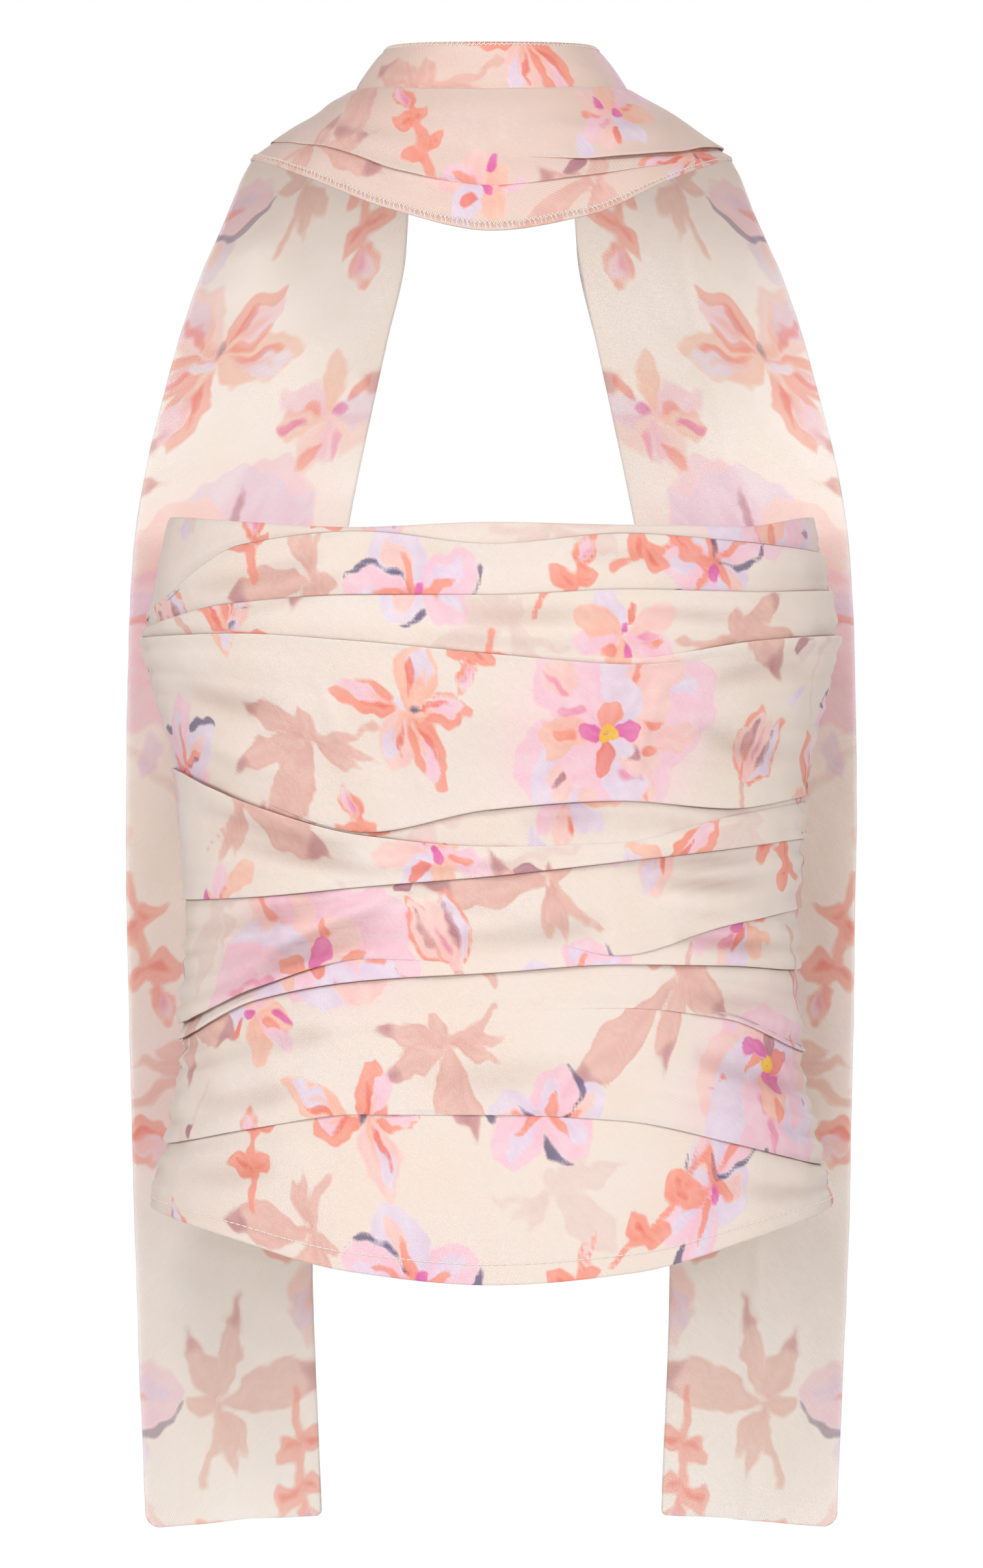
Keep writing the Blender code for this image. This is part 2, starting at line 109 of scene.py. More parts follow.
world = bpy.data.worlds.new("studio")
bpy.context.scene.world = world
world.use_nodes = True
nodes, links = world.node_tree.nodes, world.node_tree.links
ambient = nodes["Background"]
ambient.inputs["Color"].default_value = (1.0, 0.945, 0.92, 1)
ambient.inputs["Strength"].default_value = 0.31
paper = nodes.new("ShaderNodeBackground")
paper.inputs["Color"].default_value = (1, 1, 1, 1)
seen = nodes.new("ShaderNodeLightPath")
either = nodes.new("ShaderNodeMixShader")
links.new(seen.outputs["Is Camera Ray"], either.inputs[0])
links.new(ambient.outputs[0], either.inputs[1])
links.new(paper.outputs[0], either.inputs[2])
links.new(either.outputs[0], nodes["World Output"].inputs["Surface"])
print("lens, mm:", round(camera_data.lens, 1))

# %% [markdown]
# ## Helpers for drawing with a few numbers
# A maker knows a garment at some heights and at some points across it. A smooth curve through such a short
# table gives every point between, and it never swings past the numbers, so a fold stays where it was
# measured.

# %% Curves through short tables
def smooth(stations, values, at):
    """Reads a table of values with a curve through every point that never overshoots them."""
    x = np.asarray(stations, float)
    y = np.asarray(values, float)
    if x[0] > x[-1]:
        x, y = x[::-1], y[::-1]
    step = np.diff(x)
    slope = np.diff(y) / step
    tangent = np.zeros_like(y)
    tangent[0], tangent[-1] = slope[0], slope[-1]
    for k in range(1, len(x) - 1):
        if slope[k - 1] * slope[k] > 0:
            heavy = 2 * step[k] + step[k - 1]
            light = step[k] + 2 * step[k - 1]
            tangent[k] = (heavy + light) / (heavy / slope[k - 1] + light / slope[k])
    at = np.clip(np.asarray(at, float), x[0], x[-1])
    k = np.clip(np.searchsorted(x, at, side="right") - 1, 0, len(step) - 1)
    h = step[k]
    s = (at - x[k]) / h
    return (
        (2 * s**3 - 3 * s**2 + 1) * y[k]
        + (s**3 - 2 * s**2 + s) * h * tangent[k]
        + (3 * s**2 - 2 * s**3) * y[k + 1]
        + (s**3 - s**2) * h * tangent[k + 1]
    )


def column(rows, k):
    return [row[k] for row in rows]


def heading(turn):
    """Cosine and sine of an angle in degrees."""
    return math.cos(math.radians(turn)), math.sin(math.radians(turn))


def rise(value, low, high):
    """0 below low, 1 above high and a soft step between."""
    share = np.clip((value - low) / (high - low), 0, 1)
    return share * share * (3 - 2 * share)


def ripple(s, t, size, seed, waves=6):
    """Smooth unevenness between about -1 and 1, whose bumps are about size apart."""
    random = np.random.default_rng(seed)
    total = 0 * s
    for _ in range(waves):
        turn = random.uniform(0, 2 * math.pi)
        pace = 2 * math.pi / (size * random.uniform(0.7, 1.5))
        total = total + np.sin(pace * (math.cos(turn) * s + math.sin(turn) * t) + random.uniform(0, 6.3))
    return total / math.sqrt(waves / 2) / 1.6


print("a curve through 0, 1 and 1, read halfway to the 1:", float(smooth((0, 1, 2), (0, 1, 1), 0.5)))

# %% [markdown]
# ## The form of the bodice
# Every level cut through the bodice is a rounded oval. Eleven of them, from above the bust to below the
# hem, give its outline from the front and from the side.

# %% Level sections of the bodice
SECTION_POWER = 2.3
BODICE_SECTIONS = (
    # height, half_width, front, back
    (60.0, 137.0, 96.0, 83.0),
    (30.0, 142.0, 109.0, 86.0),
    (0.0, 147.5, 117.0, 88.0),
    (-30.0, 141.5, 112.0, 87.0),
    (-60.0, 135.0, 102.5, 84.0),
    (-95.0, 132.0, 94.5, 81.0),
    (-132.0, 130.5, 91.5, 80.0),
    (-170.0, 131.5, 93.5, 85.0),
    (-210.0, 137.5, 97.5, 93.0),
    (-245.0, 147.0, 102.5, 100.0),
    (-285.0, 154.0, 106.0, 104.0),
)


def bodice_point(angle, height, side, out):
    """Points out mm outside the bodice's plain outer surface. side is -1 for the front, 1 for the back."""
    heights = column(BODICE_SECTIONS, 0)
    half_width = smooth(heights, column(BODICE_SECTIONS, 1), height)
    depth = smooth(heights, column(BODICE_SECTIONS, 2 if side < 0 else 3), height)
    share = 2 / SECTION_POWER
    s, c = np.sin(angle), np.cos(angle)
    x = half_width * np.sign(s) * np.abs(s) ** share
    d = depth * np.abs(c) ** share
    nx = np.sign(s) * np.abs(s) ** (2 - share) / half_width
    nd = np.abs(c) ** (2 - share) / depth
    length = np.hypot(nx, nd)
    return np.stack([x + nx / length * out, side * (d + nd / length * out), height + 0 * x], axis=-1)


def even_angles(count, side, last, height=-60.0):
    """Angles from the centre to last that lie evenly along the cloth of a section."""
    fine = np.linspace(0, last, 2000)
    run = bodice_point(fine, np.full_like(fine, height), side, 0)
    along = np.concatenate([[0], np.cumsum(np.linalg.norm(np.diff(run, axis=0), axis=1))])
    return np.interp(np.linspace(0, along[-1], count), along, fine)


half = even_angles(136, -1, math.pi / 2)
FRONT_ANGLES = np.concatenate([-half[:0:-1], half])
print("columns across the front:", len(FRONT_ANGLES))

# %% [markdown]
# ## Pleats with real edges
# Each pleat is a tuck: the cloth runs to a rounded edge, turns back under itself and comes out again on the
# cloth below. A surface that is only pushed in and out would show a step there and no shadow line. So each
# pleat adds ten rows of points that follow the tuck. A pleat that faces down has its upper cloth in front,
# and one that faces up has its lower cloth in front. Where its depth falls to nothing, its rows lie flat.

# %% Rows of points for pleated cloth
TUCK = (
    # height if flat, height when tucked, share of the depth, share of the hidden cloth
    (0.90, 0.90, 1.00, 0.00),
    (0.25, 0.25, 1.00, 0.00),
    (-0.05, -0.15, 0.96, 0.00),
    (-0.10, -0.30, 0.80, 0.02),
    (-0.15, -0.12, 0.62, 0.05),
    (-0.20, 1.10, 0.50, 0.25),
    (-0.25, 2.40, 0.40, 0.50),
    (-0.30, 2.30, 0.02, 0.75),
    (-0.35, -0.36, -0.02, 0.97),
    (-0.90, -0.95, 0.00, 1.00),
)
EDGE = (
    # height below the edge, relief: a rounded, turned edge of the cloth
    (0.10, -0.95),
    (0.00, -0.50),
    (0.15, -0.12),
    (0.90, 0.00),
)
FOLD_ROLL = 11.0
PUFF = 1.1
HIDDEN_PER_DEPTH = 12.0
ROOM_FOR_TUCK = 3.4
CONTACT_SHADE = 0.1
CONTACT_REACH = 3.6


def pleated_rows(lines, stations, across, spacing):
    """Rows of a pleated cloth: flat height, true height, relief, height on the uncut cloth and painted shade
    in and beside the tucks, at every column."""
    heights = [smooth(stations, line[2], across) for line in lines]
    depths = [smooth(stations, line[3], across) for line in lines]
    flat, true, owner, share, hidden, puffs = [], [], [], [], [], []

    def row(flat_height, true_height, own=-1, depth_share=0.0, hidden_share=0.0, puff=0.0):
        flat.append(flat_height + 0 * across)
        true.append(true_height + 0 * across)
        owner.append(own)
        share.append(depth_share)
        hidden.append(hidden_share)
        puffs.append(puff + 0 * across)

    for k, (_, faces, _, _) in enumerate(lines):
        above = heights[k - 1] - heights[k] if k else heights[k] - heights[k + 1]
        below = heights[k] - heights[k + 1] if k + 1 < len(lines) else above
        room = np.clip(np.minimum(above, below) / ROOM_FOR_TUCK, 0.12, 1)
        if faces == "edge":
            steps = EDGE if k == 0 else EDGE[::-1]
            way = 1 if k == 0 else -1
            for drop, relief in steps:
                row(heights[k] - way * drop * (drop > 0.5), heights[k] - way * drop, puff=relief)
        else:
            tucked = rise(depths[k], 0.15, 1.1)
            steps = TUCK if faces == "down" else TUCK[::-1]
            way = 1 if faces == "down" else -1
            for level, tuck, depth_share, hidden_share in steps:
                open_height = heights[k] + way * level * room
                tuck_height = heights[k] + way * tuck * room
                passed = hidden_share if faces == "down" else 1 - hidden_share
                row(open_height, open_height + (tuck_height - open_height) * tucked, k, depth_share, passed)
        if k + 1 == len(lines):
            break
        start = flat[-1]
        next_room = np.minimum(below, heights[k + 1] - heights[k + 2] if k + 2 < len(lines) else below)
        lead = 0.9 * np.clip(next_room / ROOM_FOR_TUCK, 0.12, 1)
        end = heights[k + 1] + lead
        steps = max(2, round(float(np.mean(start - end)) / spacing))
        tall = np.clip(below / 30, 0, 1)
        for step in range(1, steps):
            part = step / steps
            level = start * (1 - part) + end * part
            row(level, level, puff=PUFF * tall * math.sin(math.pi * part))
    flat, true, relief = np.array(flat), np.array(true), np.array(puffs)
    owner, share, hidden = np.array(owner), np.array(share), np.array(hidden)
    cloth, shade = flat.copy(), 0 * flat
    order = np.arange(len(flat))
    for k, line in enumerate(lines):
        if line[1] == "edge":
            continue
        own = np.flatnonzero(owner == k)
        swell = depths[k] * np.exp(-np.abs(flat - heights[k]) / FOLD_ROLL)
        in_front = order < own[0] if line[1] == "down" else order > own[-1]
        relief += np.where(in_front[:, None], swell, 0)
        relief[own] += share[own, None] * depths[k]
        passed = np.where(order > own[-1], 1.0, 0.0)
        passed[own] = hidden[own]
        # painted shade: the cloth folded inside a tuck is darkened, and the cloth behind its edge gets a
        # darkening that fades away from it
        folded = (hidden[own] > 0.01) & (hidden[own] < 0.99)
        deep = rise(depths[k], 0.7, 1.8)
        behind = order > own[-1] if line[1] == "down" else order < own[0]
        shade += behind[:, None] * deep * CONTACT_SHADE * np.exp(-np.abs(flat - heights[k]) / CONTACT_REACH)
        shade[own] = np.maximum(shade[own], folded[:, None] * deep)
        cloth -= passed[:, None] * depths[k] * HIDDEN_PER_DEPTH
    return flat, true, relief, cloth, shade


print("rows of points in one pleat:", len(TUCK))

# %% [markdown]
# ## Where the front's pleats lie
# Each line is given at seven stations from the left seam to the right one. The depth of a pleat at a
# station says how far it stands out there: nothing where the photograph shows it fading into the cloth.

# %% The front's pleats
ACROSS = (-1.0, -0.75, -0.4, 0.0, 0.4, 0.75, 1.0)
FRONT_LINES = (
    # name, faces, heights at ACROSS, depths at ACROSS
    ("top_edge", "edge", (51, 47, 44, 46, 45, 45, 51), (0, 0, 0, 0, 0, 0, 0)),
    ("swag", "up", (9, 36.5, 42, 36.5, 41, 38, 35), (1.2, 1.8, 1.4, 1.2, 1.4, 1.6, 1.6)),
    ("bust_upper", "up", (3, 12, 15, 15, 17.5, 17, 19), (1.2, 2.0, 1.8, 1.2, 1.4, 1.8, 2.0)),
    ("bust_right", "up", (0.6, 1.5, -1.5, -7, -11, -3.5, 0), (0, 0, 0, 0, 0.3, 1.8, 2.2)),
    ("bust_left", "up", (-1, -0.4, -3.8, -9.5, -13.8, -9, -6), (2.2, 2.0, 1.8, 1.4, 1.0, 0, 0)),
    ("under_bust", "down", (-54, -69, -83.4, -73.7, -70.1, -73.4, -68), (0, 0, 1.2, 2.2, 2.0, 2.0, 1.6)),
    ("waist_upper", "up", (-56.5, -72.2, -85, -89.7, -88.2, -77.2, -71), (2.2, 2.2, 1.8, 1, 0.5, 0.5, 0.5)),
    ("waist", "down", (-112.6, -110.6, -106, -101.6, -95.7, -90.4, -86), (1.8, 2, 1.8, 2, 2.2, 2, 1.8)),
    ("waist_right", "down", (-118, -117, -114, -120, -135, -122.8, -116), (0, 0, 0, 0, 0.6, 2.0, 2.2)),
    ("hip_left", "down", (-165.8, -148.9, -136.4, -137.5, -137, -137.5, -138), (2.2, 2.0, 0.6, 0, 0, 0, 0)),
    ("hip", "down", (-172.8, -154.1, -145.3, -142, -138.8, -139.7, -142.6), (2, 2, 2, 2.2, 2.2, 2, 1.8)),
    ("hip_right", "down", (-180, -168, -160, -158, -157, -162, -178), (0, 0, 0, 0, 0.2, 1.0, 1.4)),
    ("hip_lower", "down", (-217, -208.5, -201.3, -201.3, -203.9, -214.9, -226),
     (1.5, 1.2, 0.9, 0.8, 0.9, 1.2, 1.5)),
    ("hem", "edge", (-244.4, -253.7, -266.7, -272.1, -267.3, -253.9, -244.2), (0, 0, 0, 0, 0, 0, 0)),
)
FRONT_SPACING = 1.6
front_across = np.sign(FRONT_ANGLES) * np.abs(np.sin(FRONT_ANGLES)) ** (2 / SECTION_POWER)
front_flat, front_true, front_relief, front_cloth, front_shade = pleated_rows(
    FRONT_LINES, ACROSS, front_across, FRONT_SPACING
)
print("rows of the front:", len(front_flat))

# %% [markdown]
# ## Gathers and soft creases
# The front is cut much longer than it finishes and is gathered into both side seams. Each gather is a short
# ridge that starts at the seam and runs out into the panel, and no two are alike, so their places, widths
# and lengths come from a seeded random draw. The longer creases between the pleats are listed one by one.

# %% Gathers at the side seams
GATHER_PITCH = (7.5, 13.0)
FRONT_GATHERS = (44, -240, 1.8, 44)  # top, bottom, depth, reach
LEFT_FULLNESS = (
    # height, how tightly the cloth is gathered there
    (44, 0.6), (8, 0.7), (-45, 0.5), (-60, 0.3), (-108, 0.5),
    (-120, 1.1), (-165, 1.5), (-214, 1.5), (-240, 0.5),
)
RIGHT_FULLNESS = (
    (44, 0.5), (10, 0.7), (-40, 0.6), (-66, 0.4), (-84, 1.4),
    (-120, 1.0), (-150, 1.1), (-215, 1.7), (-240, 0.6),
)


def run_across(angles, height, side):
    """Distance along the cloth from the centre to every angle, at each height."""
    points = bodice_point(angles[None, :] + 0 * height, height, side, 0)
    step = np.linalg.norm(np.diff(points[..., :2], axis=1), axis=-1)
    along = np.concatenate([np.zeros((len(height), 1)), np.cumsum(step, axis=1)], axis=1)
    return along


def gathers(seam_heights, from_seam, top, bottom, depth, reach, seed, fullness=((60, 1), (-300, 1))):
    """Ridges that run from a seam into the cloth, each with a trough below it. The sewing flattens them at
    the seam itself. seam_heights has the height of every row there, and fullness says how tightly the cloth
    is gathered at some heights."""
    random = np.random.default_rng(seed)
    total = 0 * from_seam
    level = top
    while level > bottom:
        width = random.uniform(*GATHER_PITCH)
        tall = depth * random.uniform(0.5, 1.25)
        length = reach * random.uniform(0.45, 1.9)
        off = (seam_heights - level) / (0.34 * width)
        ridge = np.exp(-(off**2)) - 0.6 * np.exp(-(((off + 1.9) / 0.7) ** 2))
        tall *= float(smooth(column(fullness, 0), column(fullness, 1), level))
        swell = np.exp(-((from_seam / length) ** 1.3)) * (1 - 0.85 * np.exp(-from_seam / 8))
        total += tall * ridge[:, None] * swell
        level -= width
    return total


front_angle_grid = FRONT_ANGLES[None, :] + 0 * front_flat
front_run = run_across(FRONT_ANGLES, front_flat, -1)
middle_column = len(FRONT_ANGLES) // 2
front_s = front_run - front_run[:, [middle_column]]
from_left = front_run
from_right = front_run[:, [-1]] - front_run
plain_x = bodice_point(front_angle_grid, front_flat, -1, 0)[..., 0]

near_seam = np.minimum(from_left, from_right)
gathered = gathers(front_flat[:, 0], from_left, *FRONT_GATHERS, 4, LEFT_FULLNESS)
gathered += gathers(front_flat[:, -1], from_right, *FRONT_GATHERS, 9, RIGHT_FULLNESS)
print("highest gather, mm:", round(float(gathered.max()), 2))

# %% [markdown]
# The longer creases are soft troughs and ridges that run from one point to another between two pleats and
# fade at both ends. They are what the cloth does on its own, so they are shallow and slightly bent.

# %% Creases between the pleats
def creases(table, x, height):
    """Soft troughs (depth below 0) and ridges between two points, bent by sag and fading at both ends."""
    total = 0 * height
    for x0, z0, x1, z1, sag, wide, depth in table:
        length = math.hypot(x1 - x0, z1 - z0)
        ux, uz = (x1 - x0) / length, (z1 - z0) / length
        along = ((x - x0) * ux + (height - z0) * uz) / length
        off = -(x - x0) * uz + (height - z0) * ux + sag * 4 * along * (1 - along)
        fade = np.sin(math.pi * np.clip(along, 0, 1)) ** 0.8
        total = total + depth * fade * np.exp(-((off / wide) ** 2))
    return total


FRONT_CREASES = (
    # x, z at one end, x, z at the other, sag, half width, depth before CREASE_GAIN deepens it
    (-126, 20, -70, 33, 3, 4.0, -0.7),
    (-118, 8, -60, 24, 2, 3.5, -0.6),
    (-60, 29, 10, 26, -2, 4.0, 0.5),
    (-20, 8, 60, 9, 2, 4.5, -0.5),
    (30, 31, 110, 29, -2, 3.5, -0.5),
    (60, 10, 128, 7, 2, 3.0, -0.6),
    (-30, 2, 40, -2, 1, 3.0, 0.5),
    (-134, -20, -86, -34, 3, 5.0, -0.6),
    (92, -22, 134, -14, -2, 4.5, -0.7),
    (84, -40, 130, -52, 3, 5.0, -0.6),
    (-128, -42, -80, -60, 2, 5.0, 0.5),
    (-125, -72, -55, -92, 3, 4.0, -0.9),
    (-122, -84, -40, -101, 2, 3.6, -0.8),
    (-60, -97, 20, -92, 2, 3.0, 0.6),
    (10, -80, 92, -84, -3, 4.0, -0.8),
    (50, -98, 126, -94, 1, 3.2, -0.8),
    (-126, -128, -60, -116, -2, 4.5, -0.9),
    (-124, -157, -16, -106, -2, 4.5, -1.0),
    (-112, -144, -24, -103, -2, 3.5, 0.7),
    (-124, -142, -30, -127, -3, 5.0, -1.0),
    (-90, -124, 0, -112, -2, 4.0, 0.7),
    (-30, -131, 50, -122, 2, 5.0, -0.9),
    (60, -104, 124, -104, 2, 3.5, -0.9),
    (66, -112, 124, -124, -2, 3.5, 0.8),
    (76, -128, 126, -133, 1, 3.0, -0.8),
    (-128, -182, -66, -168, -2, 4.5, -0.7),
    (-126, -198, -80, -190, 2, 4.5, -0.7),
    (70, -150, 130, -158, 2, 4.0, -0.8),
    (84, -176, 134, -194, 2, 4.5, -0.9),
    (60, -190, 128, -208, -2, 4.5, 0.6),
    (-40, -186, 40, -183, 3, 7.0, -0.4),
    (-132, -228, -90, -224, 2, 5.0, -0.6),
    (92, -230, 138, -238, 1, 4.0, -0.6),
    (74, -14, 58, -66, 2, 3.0, 0.35),
    (-74, -16, -60, -62, -2, 3.0, 0.3),
)

creased = creases(FRONT_CREASES, plain_x, front_flat)
print("creases placed by hand:", len(FRONT_CREASES))

# %% [markdown]
# The relief of the front adds up its pleats, gathers, creases, some slow unevenness and the pucker of its
# seams. A trough can't go deeper than the wall allows. The troughs are also darkened a little, because
# less light comes into them.

# %% Relief of the front
CREASE_GAIN = 2.9
GATHER_SHADE = 0.22
CREASE_SHADE = 0.5
SEAM_PUCKER = 0.55
SEAM_PUCKER_REACH = 1.4
DEEPEST = -1.0
SEAM_RELIEF = (-0.95, 0.2)

front_relief += gathered + CREASE_GAIN * creased
front_shade += GATHER_SHADE * np.clip(-gathered, 0, 1.4) + CREASE_SHADE * np.clip(-creased, 0, 1)
front_relief += 0.3 * ripple(front_s, front_cloth, 34, 11) + 0.06 * ripple(front_s, front_cloth, 8, 12)
front_relief += 0.5 * np.exp(-near_seam / 30) * ripple(front_s, 3 * front_flat, 16, 13)
front_relief -= SEAM_PUCKER * np.exp(-((near_seam / SEAM_PUCKER_REACH) ** 2))
front_shade *= rise(near_seam, 0, 5) * np.clip(0.75 + 0.35 * ripple(front_s, front_flat, 60, 15), 0.35, 1)
front_relief = np.maximum(front_relief, DEEPEST + 0.2 * np.tanh(front_relief / 3))
for end in (0, -1):
    front_true[:, end] = front_flat[:, end]
    front_relief[:, end] = np.clip(front_relief[:, end], *SEAM_RELIEF)
print("relief of the front, mm:", round(float(front_relief.min()), 2), round(float(front_relief.max()), 2))

# %% [markdown]
# ## Closed walls from two skins
# A cloth wall is an outer skin with all its folds and a plain inner skin. Both start as flat grids whose
# corners are moved to their places. The inner skin needs far fewer rows, so the top and the hem are
# bridged, where the columns match, and the two narrow ends are filled with one face each.

# %% A wall of cloth
def smooth_faces(corners, slot):
    """Gives the faces at some corners a material slot and smooth shading."""
    for face in {f for vert in corners for f in vert.link_faces}:
        face.material_index = slot
        face.smooth = True


def grid_skin(bm, points, slot):
    """A grid of faces through a table of points. Returns its corners, row by row."""
    rows, columns = points.shape[:2]
    made = bmesh.ops.create_grid(bm, x_segments=columns - 1, y_segments=rows - 1, size=1)["verts"]
    corners = [[None] * columns for _ in range(rows)]
    places = points * MM
    for vert in made:
        c = round((vert.co.x + 1) / 2 * (columns - 1))
        r = round((vert.co.y + 1) / 2 * (rows - 1))
        corners[r][c] = vert
        vert.co = places[r, c]
    smooth_faces(made, slot)
    return corners


def row_edges(bm, corners, row):
    return [bm.edges.get((a, b)) for a, b in zip(corners[row], corners[row][1:])]


def cloth_wall(name, outer, inner, materials):
    """A closed wall between a fine outer skin and a plain inner one."""
    bm = bmesh.new()
    front = grid_skin(bm, outer, 0)
    back = grid_skin(bm, inner, 1)
    for row in (0, -1):
        bmesh.ops.bridge_loops(bm, edges=row_edges(bm, front, row) + row_edges(bm, back, row))
    ends = [edge for edge in bm.edges if edge.is_boundary]
    bmesh.ops.holes_fill(bm, edges=ends, sides=0)
    bmesh.ops.recalc_face_normals(bm, faces=bm.faces)
    bm.verts.index_update()
    order = np.array([[vert.index for vert in row] for row in front])
    inner_order = np.array([[vert.index for vert in row] for row in back])
    piece = new_piece(name, bm, materials)
    return piece, order, inner_order


def new_piece(name, bm, materials):
    mesh = bpy.data.meshes.new(name)
    bm.to_mesh(mesh)
    bm.free()
    for material in materials:
        mesh.materials.append(material)
    piece = bpy.data.objects.new(name, mesh)
    bpy.context.scene.collection.objects.link(piece)
    return piece


def triangles(piece):
    return sum(len(face.vertices) - 2 for face in piece.data.polygons)


# %% [markdown]
# ## Materials in plain arithmetic
# A procedural finish is arithmetic on positions. The small class below wraps a node's output, so that a
# mask or a mix is written as a Python expression, and one function adds any other node.

# %% Shader arithmetic
def add_node(tree, kind, settings=(), **inputs):
    """Adds a node, sets it up and fills its inputs, which are named or, as i0 or i1, numbered."""
    made = tree.nodes.new(kind)
    for key, value in dict(settings).items():
        setattr(made, key, value)
    for key, value in inputs.items():
        place = made.inputs[int(key[1:])] if key[1:].isdigit() else made.inputs[key.replace("_", " ")]
        if isinstance(value, Socket):
            tree.links.new(value.output, place)
        else:
            place.default_value = value
    return made


class Socket:
    """An output of a node. Arithmetic on it adds Math nodes."""

    def __init__(self, tree, output):
        self.tree, self.output = tree, output

    def math(self, operation, other=0.0, clamp=False):
        settings = {"operation": operation, "use_clamp": clamp}
        made = add_node(self.tree, "ShaderNodeMath", settings, i0=self, i1=other)
        return Socket(self.tree, made.outputs[0])

    def __add__(self, other):
        return self.math("ADD", other)

    def __mul__(self, other):
        return self.math("MULTIPLY", other)

    def __sub__(self, other):
        return self.math("SUBTRACT", other)

    def __rsub__(self, other):
        return (self * -1) + other

    def __truediv__(self, other):
        return self.math("DIVIDE", other)

    __radd__, __rmul__ = __add__, __mul__

    def clamp(self):
        return self.math("ADD", clamp=True)

    def mix(self, low, high):
        """A colour between low and high, with this socket as the share of high."""
        made = add_node(self.tree, "ShaderNodeMix", {"data_type": "RGBA"}, i0=self, i6=low, i7=high)
        return Socket(self.tree, made.outputs[2])

    def noise(self, scale, detail=2.0, roughness=0.5):
        """Cloudy noise read at this vector, between 0 and 1."""
        values = {"Scale": scale, "Detail": detail, "Roughness": roughness}
        made = add_node(self.tree, "ShaderNodeTexNoise", Vector=self, **values)
        return Socket(self.tree, made.outputs["Fac"])

    def parts(self):
        made = add_node(self.tree, "ShaderNodeSeparateXYZ", Vector=self)
        return [Socket(self.tree, made.outputs[k]) for k in range(3)]

    def combine(self, y, z):
        made = add_node(self.tree, "ShaderNodeCombineXYZ", X=self, Y=y, Z=z)
        return Socket(self.tree, made.outputs[0])


# %% [markdown]
# A new material starts with one shader. Its colour, its fine relief and a few plain values are all that
# differs from finish to finish, and one helper sets them.

# %% Materials and their finish
def new_material(name):
    material = bpy.data.materials.new(name)
    material.use_nodes = True
    tree = material.node_tree
    return material, tree, tree.nodes["Principled BSDF"]


def finish(tree, shader, color, height, strength, distance, **inputs):
    """Links a colour and a bumped height to a shader and sets the values of its other inputs."""
    tree.links.new(color.output, shader.inputs["Base Color"])
    bump = add_node(tree, "ShaderNodeBump", Strength=strength, Distance=distance, Height=height)
    tree.links.new(bump.outputs["Normal"], shader.inputs["Normal"])
    for name, value in inputs.items():
        shader.inputs[name.replace("_", " ")].default_value = value


def attribute(tree, name, output="Vector"):
    """What a piece's points say under a name."""
    node = add_node(tree, "ShaderNodeAttribute", {"attribute_name": name})
    return Socket(tree, node.outputs[output])


def place_on(tree):
    """The place of a point on its piece, in metres."""
    return Socket(tree, add_node(tree, "ShaderNodeTexCoord").outputs["Object"])


# %% [markdown]
# ## The printed cloth
# The print is a loose watercolour of peonies, lilies, leaves and buds on cream. On real cloth each ink is a
# screen of its own. Here each ink is one number at every point of the cloth: how far inside its painted
# shape the point lies, in millimetres. The edge is then cut in the shader, where it stays crisp at any
# distance, with a little noise for the way ink spreads along the threads.

# %% Inks
INKS = {
    # name: deep colour, pale colour, how far its edge spreads in mm, how well it covers
    "wash": ((251, 214, 220), (252, 226, 226), 16.0, 0.60),
    "ghost": ((232, 208, 202), (240, 218, 210), 1.4, 0.80),
    "leaf": ((226, 172, 162), (240, 204, 192), 1.0, 0.92),
    "leaf_dark": ((180, 126, 142), (206, 156, 160), 3.0, 0.62),
    "blush": ((249, 192, 188), (251, 216, 210), 1.8, 0.88),
    "pink": ((247, 192, 212), (250, 214, 226), 1.8, 0.90),
    "lilac": ((226, 206, 228), (238, 226, 240), 1.4, 0.92),
    "rose": ((236, 138, 172), (246, 182, 198), 1.1, 0.85),
    "peach": ((249, 182, 158), (252, 208, 192), 1.1, 0.90),
    "coral": ((245, 142, 122), (250, 176, 158), 0.9, 0.90),
    "coral_deep": ((236, 116, 100), (245, 148, 130), 0.9, 0.85),
    "plum": ((166, 102, 124), (204, 152, 160), 0.9, 0.85),
    "magenta": ((220, 84, 164), (240, 136, 192), 0.9, 0.90),
    "yellow": ((244, 180, 52), (250, 208, 100), 0.7, 0.95),
    "indigo": ((88, 78, 116), (130, 116, 152), 0.8, 0.85),
}
FAR = 20.0


def linear(red, green, blue):
    """A colour as a screen shows it, from 0 to 255, as the light that a shader works with."""
    shares = [value / 255 for value in (red, green, blue)]
    return (*[v / 12.92 if v <= 0.04045 else ((v + 0.055) / 1.055) ** 2.4 for v in shares], 1)


print("inks:", len(INKS))

# %% [markdown]
# ### Shapes in ink
# A shape is laid over what is there: it adds to its own ink and cuts away all inks above it. The cloth's
# coordinates are wavered a little first, so that every outline looks as if a brush had made it.

# %% Painting and motifs
class Painting:
    """How far inside every ink's shapes each point of a cloth lies, and how pale the brush was there."""

    def __init__(self, s, t):
        self.s = s + 1.1 * ripple(s, t, 15, 1) + 0.6 * ripple(s, t, 5.5, 2)
        self.t = t + 1.1 * ripple(s, t, 15, 3) + 0.6 * ripple(s, t, 5.5, 4)
        self.inks = np.full((len(INKS), *s.shape), -FAR)
        self.tone = np.zeros(s.shape)

    def place(self, x, y, turn, reach):
        """A motif's own coordinates, for the points within its reach."""
        near = np.nonzero((np.abs(self.s - x) < reach) & (np.abs(self.t - y) < reach))
        dx, dy = self.s[near] - x, self.t[near] - y
        c, s = heading(turn)
        return Motif(self, near, dx * c + dy * s, -dx * s + dy * c)


